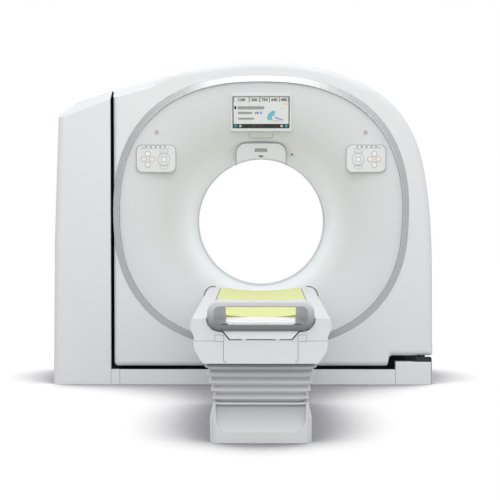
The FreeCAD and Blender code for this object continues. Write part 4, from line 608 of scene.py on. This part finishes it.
class SCANNER_OT_display(Operator):
    """Puts a plain picture on the display: fields of colour, bars and numbers"""
    bl_idname = "scanner.display"
    bl_label = "Display picture"

    def execute(self, context):
        lean = Matrix.Translation(SCREEN_AT) @ Matrix.Rotation(SCREEN_LEAN, 4, "X")

        def on_screen(lift):
            return lambda x, depth, z: lean @ Vector((x, 0.0020 + depth - lift, z))

        def shapes(name, finish_name, lift, *outlines):
            tiles(f"screen_{name}", outlines, on_screen(lift), 0.0002, f"screen_{finish_name}", TILTING)

        def fields(name, finish_name, lift, radius, *boxes):
            shapes(name, finish_name, lift, *[rounded_outline(*box, radius) for box in boxes])

        fields("head_band", "band", 0.0002, 0.001, (-0.159, 0.159, 0.058, 0.0895))
        fields("field", "pale", 0.0003, 0.001, (-0.156, 0.156, -0.0665, 0.060))
        fields("foot_bar", "black", 0.0003, 0.001, (-0.159, 0.159, -0.0895, -0.067))
        slots = (-0.152, -0.070), (-0.064, -0.012), (-0.004, 0.044), (0.050, 0.101), (0.107, 0.152)
        fields("value_slots", "pale", 0.0005, 0.005, *[(a, b, 0.060, 0.086) for a, b in slots])
        fields("text_bars", "mid", 0.0006, 0.004, (-0.133, 0.018, 0.017, 0.035), (-0.133, -0.050, -0.010, 0.003),
               (-0.036, -0.012, -0.010, 0.003), (-0.131, -0.040, -0.042, -0.031))
        fields("marks", "black", 0.0006, 0.005, (-0.152, -0.1405, 0.017, 0.037))
        fields("tag", "blue", 0.0006, 0.005, (-0.006, 0.005, -0.010, 0.005))
        fields("flag", "amber", 0.0006, 0.002, (0.139, 0.151, 0.043, 0.054))
        fields("flag_soft", "rose", 0.0006, 0.002, (0.127, 0.137, 0.045, 0.052))
        self.numbers(on_screen(0.0))
        for name, finish_name, x, radius in (("dots_teal", "teal", 0.144, 0.0095),
                                             ("dots_pale", "grey", 0.118, 0.0075)):
            shapes(name, finish_name, 0.0006, *[disc_outline(at, -0.0782, radius) for at in (-x, x)])
        fields("foot_marks", "dim", 0.0006, 0.002, (-0.052, -0.028, -0.0805, -0.0755),
               (-0.010, 0.010, -0.0805, -0.0755))
        # a plain curved shape, low on the right, with a small disc and a wedge beside it
        shapes("accent", "teal_soft", 0.0006, arc(0.093, -0.029, 0.058, 0.042, range(108, 211, 8))
               + arc(0.097, -0.029, 0.034, 0.030, range(210, 107, -8)))
        shapes("accent_disc", "teal_soft", 0.0007, disc_outline(0.071, -0.013, 0.0062, 16))
        shapes("accent_shade", "mid_soft", 0.0006, [(0.066, -0.043), (0.126, -0.050), (0.126, -0.052),
                                                    (0.070, -0.052)])
        shapes("accent_bar", "slate", 0.0008, [(0.075, -0.024), (0.078, -0.033), (0.124, -0.047), (0.126, -0.042)])
        return {"FINISHED"}

    def numbers(self, place):
        for label, x in (("1240", -0.113), ("360", -0.039), ("750", 0.020), ("640", 0.075), ("480", 0.129)):
            words = bpy.data.curves.new(f"screen_number_{label}", "FONT")
            words.body = label
            words.size = 0.0235
            words.extrude = 0.0001
            words.offset = 0.0007
            words.align_x, words.align_y = "CENTER", "CENTER"
            words.materials.append(finish("screen_ink"))
            thing = placed(f"screen_number_{label}", words)
            thing.matrix_world = (Matrix.Translation(place(x, -0.0008, 0.0715))
                                  @ Matrix.Rotation(math.radians(90.0) + SCREEN_LEAN, 4, "X"))
            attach(thing, TILTING)


class SCANNER_OT_pods(Operator):
    """Outlines the keys of both control pods and adds lamps and key signs"""
    bl_idname = "scanner.pods"
    bl_label = "Control pods"

    def execute(self, context):
        for pod, side in PODS.items():
            self.dress(pod, side, context.scene.scanner_sizes)
        return {"FINISHED"}

    def dress(self, pod, side, sizes):
        place = upright(POD_FACE - 0.0004)

        def at(out, up):
            """Millimetres from the pod's centre, outwards and up."""
            return side * (POD_X + out * 0.001), POD_Z + up * 0.001

        bm, warm = bmesh.new(), bmesh.new()
        for out, up, radius in ((47, 27, 12), (47, -35.5, 12), (70, -4, 12), (22, -4, 12), (-45, -4.5, 33)):
            x, z = at(out, up)
            r = radius * 0.001 + 0.0003
            width = sizes.key_ring if radius < 20 else 0.0034
            add_band(warm if up == -4 else bm, disc_outline(x, z, r + width), disc_outline(x, z, r), place, 0.0008)
        for sign, base in ((1, 30.0), (-1, -39.0)):
            # grey outline round each pair of small keys
            outer, inner = [[at(-45 + out, base + sign * up) for out, up in corners] for corners in (
                ((-24, 0), (24, 0), (24, 10), (17, 21), (-17, 21), (-24, 10)),
                ((-20.5, 3), (20.5, 3), (20.5, 9), (15, 17.6), (-15, 17.6), (-20.5, 9)))]
            add_band(bm, outer, inner, place, 0.0008)
        piece(f"{pod}_key_outlines", bm, "key_outline", TILTING)
        piece(f"{pod}_warm_outlines", warm, "key_outline_warm", TILTING)

        # grey bead round the face
        low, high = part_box(pod)
        outer, inner = [rounded_outline(low.x + a, high.x - a, low.z + a, high.z - a, 0.036 - a, 8)
                        for a in (0.0006, 0.0050)]
        bm = bmesh.new()
        add_band(bm, outer, inner, upright(POD_FACE - 0.0002), 0.0030)
        piece(f"{pod}_bead", bm, "pod_rim", TILTING)

        # the navigation ring is cut in four by a cross
        bm = bmesh.new()
        cx, cz = at(-45, -4.5)
        middle = Vector((cx, POD_FACE - 0.0015, cz))
        for quarter in range(4):
            turn = math.radians(45 + 90 * quarter)
            run = Vector((math.cos(turn), 0, math.sin(turn)))
            strip(bm, [middle + run * 0.0128, middle + run * 0.0329], AHEAD, 0.0026, 0.001)
        add_band(bm, disc_outline(cx, cz, 0.0158), disc_outline(cx, cz, 0.0127), upright(POD_FACE - 0.0019), 0.0006)
        piece(f"{pod}_ring_cross", bm, "key_sign", TILTING)

        # lamp band along the top of the pod, its ends following the corners
        ends = [at(*corner) for corner in ((-75, 57), (-62, 73), (60, 73), (80, 62), (86, 52), (76, 58.5),
                                           (-66, 58.5))]
        tiles(f"{pod}_lamp_band", [ends], place, 0.0008, "lamp_band", TILTING)
        for finish_name, spots in (("lamp", (-63, -38, -11, 16, 43)), ("lamp_green", (68,))):
            lenses = [rounded_outline(x - 0.0092, x + 0.0092, z - 0.0050, z + 0.0050, 0.0049)
                      for x, z in [at(out, 66) for out in spots]]
            tiles(f"{pod}_{finish_name}", lenses, upright(POD_FACE - 0.0018), 0.0014, finish_name, TILTING,
                  0.0006)
        # small grey arrows on the key caps
        for label, (out, up), turn in (("top", (47, 27), 90), ("low", (47, -35.5), -90), ("outer", (70, -4), 0),
                                       ("inner", (22, -4), 180)):
            x, z = at(out, up)
            lean = math.radians(turn if side > 0 else 180 - turn)
            arrow = [(x + a * math.cos(lean) - b * math.sin(lean), z + a * math.sin(lean) + b * math.cos(lean))
                     for a, b in ((0.0036, 0.0), (-0.0022, 0.0030), (-0.0022, -0.0030))]
            tiles(f"{pod}_sign_{label}", [arrow], upright(POD_FACE - 0.0027), 0.0004, "key_sign",
                  f"{pod}_button_{label}_key")


class SCANNER_OT_laser_unit(Operator):
    """Adds the laser unit's window, its small sensor and the dark joint round its cover, which is partly painted
    shade
    """
    bl_idname = "scanner.laser_unit"
    bl_label = "Laser unit"

    def execute(self, context):
        low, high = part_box("laser_unit_cover")
        face = low.y
        tiles("laser_window", [[(-0.0385, 1.3290), (0.0385, 1.3290), (0.0337, 1.3490), (-0.0337, 1.3490)]],
              upright(face + 0.0012), 0.0016, "window_dark", TILTING)
        tiles("laser_sensor", [[(-0.0100, 1.2985), (0.0100, 1.2985), (0.0140, 1.3070), (0.0145, 1.3115),
                                (0.0105, 1.3090), (-0.0105, 1.3090), (-0.0145, 1.3115), (-0.0140, 1.3070)]],
              upright(face - 0.0006), 0.0012, "mark_dark", TILTING)
        # dark joint along the cover's outline, just behind its face; beyond a thin joint it is painted shade, broad
        # on top, thin down the sides
        top, half, radius = high.z - 0.003, high.x, 0.054
        line = [(-half, 1.250), (-half, 1.290)]
        line += arc(-half + radius, top - radius, -radius, radius, range(0, 91, 9))
        line += [(-x, top + 0.003 * (1 - (x / (half - radius)) ** 2)) for x in (0.070, 0.050, 0.030, 0.010)]
        line = mirrored(line)
        bm = bmesh.new()
        rings = []
        for i, (x, z) in enumerate(line):
            px, pz = line[max(i - 1, 0)]
            nx, nz = line[min(i + 1, len(line) - 1)]
            size = math.hypot(nx - px, nz - pz)
            ox, oz = -(nz - pz) / size, (nx - px) / size
            wide = 0.0040 + 0.0050 * max(oz, 0.0) ** 1.5
            rings.append([bm.verts.new((x + ox * a, face + d, z + oz * a)) for a, d in
                          ((0.0003, 0.002), (wide, 0.002), (wide, 0.010), (0.0003, 0.010))])
        loft(bm, rings)
        piece("laser_unit_joint_and_shade", bm, "joint", TILTING)
        # a small opening for sound, on the dish beside the unit
        where, normal = on_surface("front_funnel", 0.179, 1.315)
        turn = normal.to_track_quat("Y", "Z").to_matrix()
        tiles("dish_sound_opening", [disc_outline(0, 0, 0.0075, 20)],
              lambda x, d, z: where + turn @ Vector((x * 1.1, 0.0006 - d, z * 0.85)), 0.0012, "mark_dark", TILTING)
        return {"FINISHED"}


class SCANNER_OT_seams(Operator):
    """Draws the fine seams of the covers and the table"""
    bl_idname = "scanner.seams"
    bl_label = "Cover seams"

    def execute(self, context):
        width = context.scene.scanner_sizes.seam
        bm = bmesh.new()

        def seam(start, end, wide, out=AHEAD):
            strip(bm, [Vector(start), Vector(end)], out, width * wide, 0.002)

        for x, top in ((-0.807, 0.086), (0.768, 0.128)):
            seam((x, FRONT_FACE, 0.004), (x, FRONT_FACE, top), 1.4)
        piece("base_seams", bm, "seam", "base")
        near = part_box("table_top_cover")[0].y
        bm = bmesh.new()
        for side in (-1, 1):
            flap, notch = side * 0.159, side * 0.150
            seam((flap, near, 0.374), (flap, near, 0.457), 1.5)
            seam((flap, near, 0.3745), (notch, near, 0.3745), 1.0)
            seam((notch, near, 0.365), (notch, near, 0.375), 1.5)
            x0, x1 = sorted((side * 0.196, side * 0.157))
            outline = rounded_outline(x0, x1, 0.458, 0.487, 0.002, 2)
            inner = rounded_outline(x0 + width, x1 - width, 0.458 + width, 0.487 - width, 0.002, 2)
            add_band(bm, outline, inner, upright(near - 0.0003), 0.001)
            seam((side * 0.197, near, 0.461), (side * 0.2835, near, 0.461), 1.0)
            seam((side * 0.2850, near + 0.02, 0.461), (side * 0.2850, -0.52, 0.461), 1.2, Vector((side, 0, 0)))
        piece("table_seams", bm, "seam", LIFTED)
        self.dish_lines()
        self.foot_guards()
        return {"FINISHED"}

    def dish_lines(self):
        """Lines on the dish: painted shade behind the table's far corners, and the outline of the hatch."""
        def drawn(bm, points, width):
            hits = [on_surface("front_funnel", x, z) for x, z in points]
            normals = {tuple(p): n for p, n in hits}
            strip(bm, [p for p, _ in hits], lambda p: normals[tuple(p)], width, 0.002)

        bm = bmesh.new()
        # painted shade: a dark line on the dish along the outline of the table's far corners
        for side in (-1, 1):
            path = [(0.326, 0.300 + 0.02 * i) for i in range(10)]
            path += arc(0.274, 0.502, 0.052, 0.052, range(0, 91, 9)) + [(0.268, 0.5535), (0.261, 0.551)]
            drawn(bm, [(side * x, z) for x, z in path], 0.0062)
        piece("dish_table_corner_shade", bm, "seam_dark", TILTING)
        bm = bmesh.new()
        half, top, low, r = 0.0675, 1.4345, 1.4080, 0.012
        path = [(-half, top - 0.006 * i) for i in range(3)] + arc(-half + r, low + r, -r, -r, range(0, 91, 15))
        path += [(x * 0.001, low) for x in range(-45, 1, 9)]
        drawn(bm, path + [(-x, z) for x, z in reversed(path[:-1])], 0.0042)
        piece("hatch_outline", bm, "hatch_line", TILTING)

    def foot_guards(self):
        """Glossy dark guards at the right end of the gap over the foot."""
        bm = bmesh.new()
        loft(bm, [[bm.verts.new((x, y, z)) for y, z in (
            (-0.4240, 0.1285), (-0.4240, 0.1590 - drop), (-0.4200, 0.1570 - drop),
            (-0.3760, max(0.1310 - drop, 0.1288)), (-0.3740, 0.1285))] for x, drop in (
                (0.8860, 0.0), (0.9620, 0.0), (0.9690, 0.0020), (0.9730, 0.0060), (0.9745, 0.0120))])
        piece("foot_gap_guard", bm, "guard", "base")
        tiles("stand_slot_guard", [rounded_outline(0.9380, 0.9720, 0.0850, 0.1665, 0.012)], upright(-0.09), 0.18,
              "guard", TILTING, 0.006)


class SCANNER_OT_mat(Operator):
    """Lays the pad in the hollow of the cradle"""
    bl_idname = "scanner.mat"
    bl_label = "Mat"

    def execute(self, context):
        sizes = context.scene.scanner_sizes
        low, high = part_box("mat")
        half, edge = high.x, sizes.mat_round
        inside, rise, count = half - edge, sizes.mat_thickness - 0.0006, 24
        radius = (HOLLOW_HALF ** 2 + HOLLOW_RISE ** 2) / (2 * HOLLOW_RISE)

        def floor(x):
            return HOLLOW_Z + radius - math.sqrt(radius ** 2 - x ** 2) + 0.0004

        across = [2 * inside * i / count - inside for i in range(count + 1)]
        side_z = floor(half) + rise - edge
        section = [(x, floor(x) + rise) for x in across]
        section += arc(inside, side_z, edge, edge, range(60, -61, -30))
        section += [(-x, floor(x)) for x in across]
        section += arc(-inside, side_z, edge, edge, range(-120, -241, -30))
        rows = [(low.y, 0.3), (low.y + 0.001, 0.75), (low.y + edge, 1.0)]
        rows += [(low.y + edge + (high.y - low.y - 2 * edge) * i / 60, 1.0) for i in range(1, 60)]
        rows += [(high.y - edge, 1.0), (high.y - 0.001, 0.75), (high.y, 0.3)]
        bm = bmesh.new()
        rings = []
        for y, share in rows:
            ring = []
            for x, z in section:
                mid = floor(min(abs(x), inside)) + sizes.mat_thickness / 2
                wave = 0.0003 * math.sin(9 * y + 14 * x) * (share == 1.0) * (z > mid)
                ring.append(bm.verts.new((x, y, mid + (z - mid) * share + wave)))
            rings.append(ring)
        loft(bm, rings)
        pad = piece("cradle_mat", bm, "mat", SLIDING, 0.9)
        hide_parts("mat")
        return {"FINISHED"}


class SCANNER_OT_bellows(Operator):
    """Hangs the pleated skirt between the pedestal and the table"""
    bl_idname = "scanner.bellows"
    bl_label = "Bellows"

    def execute(self, context):
        sizes = context.scene.scanner_sizes
        low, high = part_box("lift_bellows")
        centre = (low.y + high.y) / 2
        low_z, high_z = low.z + 0.0003, high.z - 0.0003
        low_half, high_half, long_reach, levels = 0.207, 0.249, 0.434, 8
        count = sizes.half_folds * levels
        rings = []
        bm = bmesh.new()
        for i in range(count + 1):
            share = i / count
            # the foot and the top are valleys; ridges are crisper than valleys
            phase = (i / levels) % 2
            ridge = min(phase, 2 - phase) ** 1.2
            half = low_half + (high_half - low_half) * share - sizes.pleat_depth * (1 - ridge)
            z = low_z + (high_z - low_z) * share
            long_half = long_reach + half
            outline = rounded_outline(-half, half, centre - long_half, centre + long_half, 0.036, 7)
            # long sides sag a little between the corners
            rings.append([bm.verts.new((x, y, z + 0.0010 * math.sin(x * 15 + i) * (1 - ridge) * (0 < i < count)))
                          for x, y in outline])
        # a thin skin: the inside repeats the outside, a little smaller
        inner = [[bm.verts.new((v.co.x * 0.990, centre + (v.co.y - centre) * 0.9965, v.co.z)) for v in ring]
                 for ring in rings]
        loft(bm, rings, ends=False)
        for skin in (inner, (rings[0], inner[0]), (inner[-1], rings[-1])):
            loft(bm, skin, ends=False, turned=True)
        skirt = piece("bellows_skirt", bm, "bellows", None, 0.9)
        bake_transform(skirt)
        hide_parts("lift_bellows")
        return {"FINISHED"}


class SCANNER_OT_table_marks(Operator):
    """Adds the small parts at the table's foot end"""
    bl_idname = "scanner.table_marks"
    bl_label = "Table marks"

    def execute(self, context):
        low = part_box("cradle_handle")[0]
        near_end = low.y + 0.022
        # the sides of the handle's recess go on down to the cradle, with a drain slot at the foot of each
        bm = bmesh.new()
        for side in (-1, 1):
            rings = []
            for x in (0.1482, 0.158, 0.168, 0.178, 0.1888):
                z = max(0.5370, HOLLOW_Z + HOLLOW_RISE * (x / HOLLOW_HALF) ** 2) + 0.0007
                wall = low.y + 0.096 * (0.2024 - x) / 0.0547
                rings.append([bm.verts.new((side * x, y, up)) for y, up in (
                    (near_end - 0.0008, 0.5310), (near_end - 0.0008, z), (wall, z), (wall, 0.5495),
                    (wall + 0.0004, 0.5495), (wall + 0.0004, z - 0.0004), (near_end - 0.0004, z - 0.0004),
                    (near_end - 0.0004, 0.5310))])
            loft(bm, rings)
        piece("handle_recess", bm, "recess", SLIDING)
        tiles("handle_drain_slots", [rounded_outline(x, x + 0.033, 0.5311, 0.5352, 0.002) for x in (-0.172, 0.139)],
              upright(near_end - 0.0014), 0.0006, "seam_dark", SLIDING)
        # soft lip along each edge of the cradle
        tiles("cradle_lips", [rounded_outline(x, x + 0.0031, 0.5462, 0.5480, 0.0007, 2) for x in (-0.2284, 0.2253)],
              upright(-2.600), 2.150, "cradle", SLIDING)
        # painted shade: a dark strip along the inner edge of the loop's top bar, where that edge faces down
        bm = bmesh.new()
        corner, half, top = 0.028, 0.2015, 0.6085
        line = mirrored(arc(-half + corner, top - corner, -corner, corner, range(20, 91, 10)))
        strip(bm, [Vector((x, low.y - 0.0001, z)) for x, z in line], AHEAD, 0.0042, 0.001)
        piece("handle_inner_edge_shade", bm, "hatch_line", SLIDING)
        # two pale guide blocks under the keel
        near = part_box("table_top_cover")[0].y
        tiles("keel_guides", [rounded_outline(x - 0.009, x + 0.009, 0.4645, 0.4675, 0.001)
                              for x in (-0.0715, 0.0715)], upright(near + 0.004), 0.010, "cradle", LIFTED)
        return {"FINISHED"}


def seen(tree):
    """1 where something is seen by the camera, in a mirror or through glass, and 0 where it only gives light."""
    path = add(tree, "LightPath").outputs
    return arithmetic(tree, "MAXIMUM", path["Is Camera Ray"],
                      arithmetic(tree, "MAXIMUM", path["Is Glossy Ray"], path["Is Transmission Ray"]))


class SCANNER_OT_stage(Operator):
    """Sets the floor, the lights, the sky and the camera"""
    bl_idname = "scanner.stage"
    bl_label = "Studio stage"

    def execute(self, context):
        stage = context.scene.scanner_stage
        scene = context.scene
        scene.view_settings.view_transform = "Standard"
        self.floor(stage)
        self.world(scene, stage)
        self.panel("overhead_panel", (-0.2, -1.0, 5.2), (0, -0.6, 0.0), 5.0, 4.0, stage.overhead)
        # even light from the camera's side, as strong at the table's end as at the gantry
        self.lamp("front_light", "SUN", (0.4, -8.0, 3.0), (-0.05, 1.0, -0.28), energy=stage.front,
                  angle=math.radians(50))
        self.panel("ring_panel", (0.3, -8.0, 2.6), (0, -0.4, 0.9), 4.0, 1.8, stage.shine)
        self.panel("table_panel", (0.0, -3.6, 3.9), (0, -1.6, 0.5), 2.2, 1.0, stage.key)
        for name, x in (("left_panel", -5.2), ("right_panel", 5.2)):
            self.panel(name, (x, -3.4, 2.4), (0, -0.4, 0.9), 1.2, 3.2, stage.sides)
        data = bpy.data.cameras.new("photo_camera")
        data.lens = stage.lens
        data.sensor_width = 36.0
        camera = placed("photo_camera", data)
        camera.location = stage.camera_at
        camera.rotation_euler = (math.radians(90) - stage.look_down, 0, stage.look_left)
        scene.camera = camera
        return {"FINISHED"}

    def floor(self, stage):
        bm = bmesh.new()
        bmesh.ops.create_grid(bm, x_segments=8, y_segments=8, size=16.0)
        mesh = bpy.data.meshes.new("studio_floor")
        bm.to_mesh(mesh)
        bm.free()
        thing = placed("studio_floor", mesh)
        thing.location = (0, 0, -0.0005)
        material, tree, shader = blank("Studio floor")
        # seen directly the floor is white, but for a soft shade close round what stands on it
        near = add(tree, "AmbientOcclusion", {"Distance": stage.shade_reach}, samples=16)
        ramp = add(tree, "ValToRGB", {"Fac": near.outputs["AO"]})
        stops = ((0.0, (0.06, 0.059, 0.066)), (0.30, (0.17, 0.168, 0.186)), (0.50, (0.30, 0.297, 0.324)),
                 (0.56, (0.42, 0.417, 0.442)), (0.66, (0.69, 0.688, 0.705)), (0.74, (0.90, 0.90, 0.905)),
                 (0.80, (1.0, 1.0, 1.0)))
        for i, (at, tone) in enumerate(stops):
            stop = ramp.color_ramp.elements[i] if i < 2 else ramp.color_ramp.elements.new(at)
            stop.position = at
            stop.color = (*tone, 1.0)
        direct = seen(tree)
        fill(tree, shader, {"Roughness": 0.8, "Specular IOR Level": 0.1, "Emission Color": ramp.outputs["Color"],
                            "Base Color": mixed(tree, direct, (0.52, 0.523, 0.53), (0.0, 0.0, 0.0)),
                            "Emission Strength": direct})
        mesh.materials.append(material)

    def world(self, scene, stage):
        scene.world = bpy.data.worlds.new("Studio sky")
        scene.world.use_nodes = True
        tree = scene.world.node_tree
        back = next(n for n in tree.nodes if n.type == "BACKGROUND")
        direct = seen(tree)
        level = arithmetic(tree, "ADD", stage.sky, arithmetic(tree, "MULTIPLY", direct, 1.0 - stage.sky))
        fill(tree, back, {"Color": mixed(tree, direct, (0.97, 0.98, 1.0), (1.0, 1.0, 1.0)), "Strength": level})

    def lamp(self, name, kind, at, way, **settings):
        data = bpy.data.lights.new(name, kind)
        for label, value in settings.items():
            setattr(data, label, value)
        thing = placed(name, data)
        thing.location = at
        thing.rotation_euler = Vector(way).to_track_quat("-Z", "Y").to_euler()

    def panel(self, name, at, aim, width, height, power):
        self.lamp(name, "AREA", at, Vector(aim) - Vector(at), shape="RECTANGLE", size=width, size_y=height,
                  energy=power)


class SCANNER_PT_panel(Panel):
    """Lists the steps of the dressing"""
    bl_idname = "SCANNER_PT_panel"
    bl_label = "CT scanner"
    bl_space_type = "VIEW_3D"
    bl_region_type = "UI"
    bl_category = "Scanner"

    def draw(self, context):
        layout = self.layout
        for step in STEPS:
            layout.operator(step.bl_idname)
        for label, group in (("Finishes", context.scene.scanner_finishes), ("Sizes", context.scene.scanner_sizes),
                             ("Stage", context.scene.scanner_stage)):
            box = layout.box()
            box.label(text=label)
            for name in group.__annotations__:
                box.prop(group, name)


STEPS = (SCANNER_OT_finishes, SCANNER_OT_display, SCANNER_OT_pods, SCANNER_OT_laser_unit, SCANNER_OT_seams,
         SCANNER_OT_mat, SCANNER_OT_bellows, SCANNER_OT_table_marks, SCANNER_OT_stage)
CLASSES = (ScannerFinishes, ScannerSizes, ScannerStage) + STEPS + (SCANNER_PT_panel,)


def register():
    for item in CLASSES:
        bpy.utils.register_class(item)
    bpy.types.Scene.scanner_finishes = PointerProperty(type=ScannerFinishes)
    bpy.types.Scene.scanner_sizes = PointerProperty(type=ScannerSizes)
    bpy.types.Scene.scanner_stage = PointerProperty(type=ScannerStage)


def unregister():
    for name in ("scanner_stage", "scanner_sizes", "scanner_finishes"):
        delattr(bpy.types.Scene, name)
    for item in reversed(CLASSES):
        bpy.utils.unregister_class(item)


def main():
    register()
    bpy.ops.scanner.finishes()
    bpy.ops.scanner.display()
    bpy.ops.scanner.pods()
    bpy.ops.scanner.laser_unit()
    bpy.ops.scanner.seams()
    bpy.ops.scanner.mat()
    bpy.ops.scanner.bellows()
    bpy.ops.scanner.table_marks()
    bpy.ops.scanner.stage()


if __name__ == "__main__":
    main()
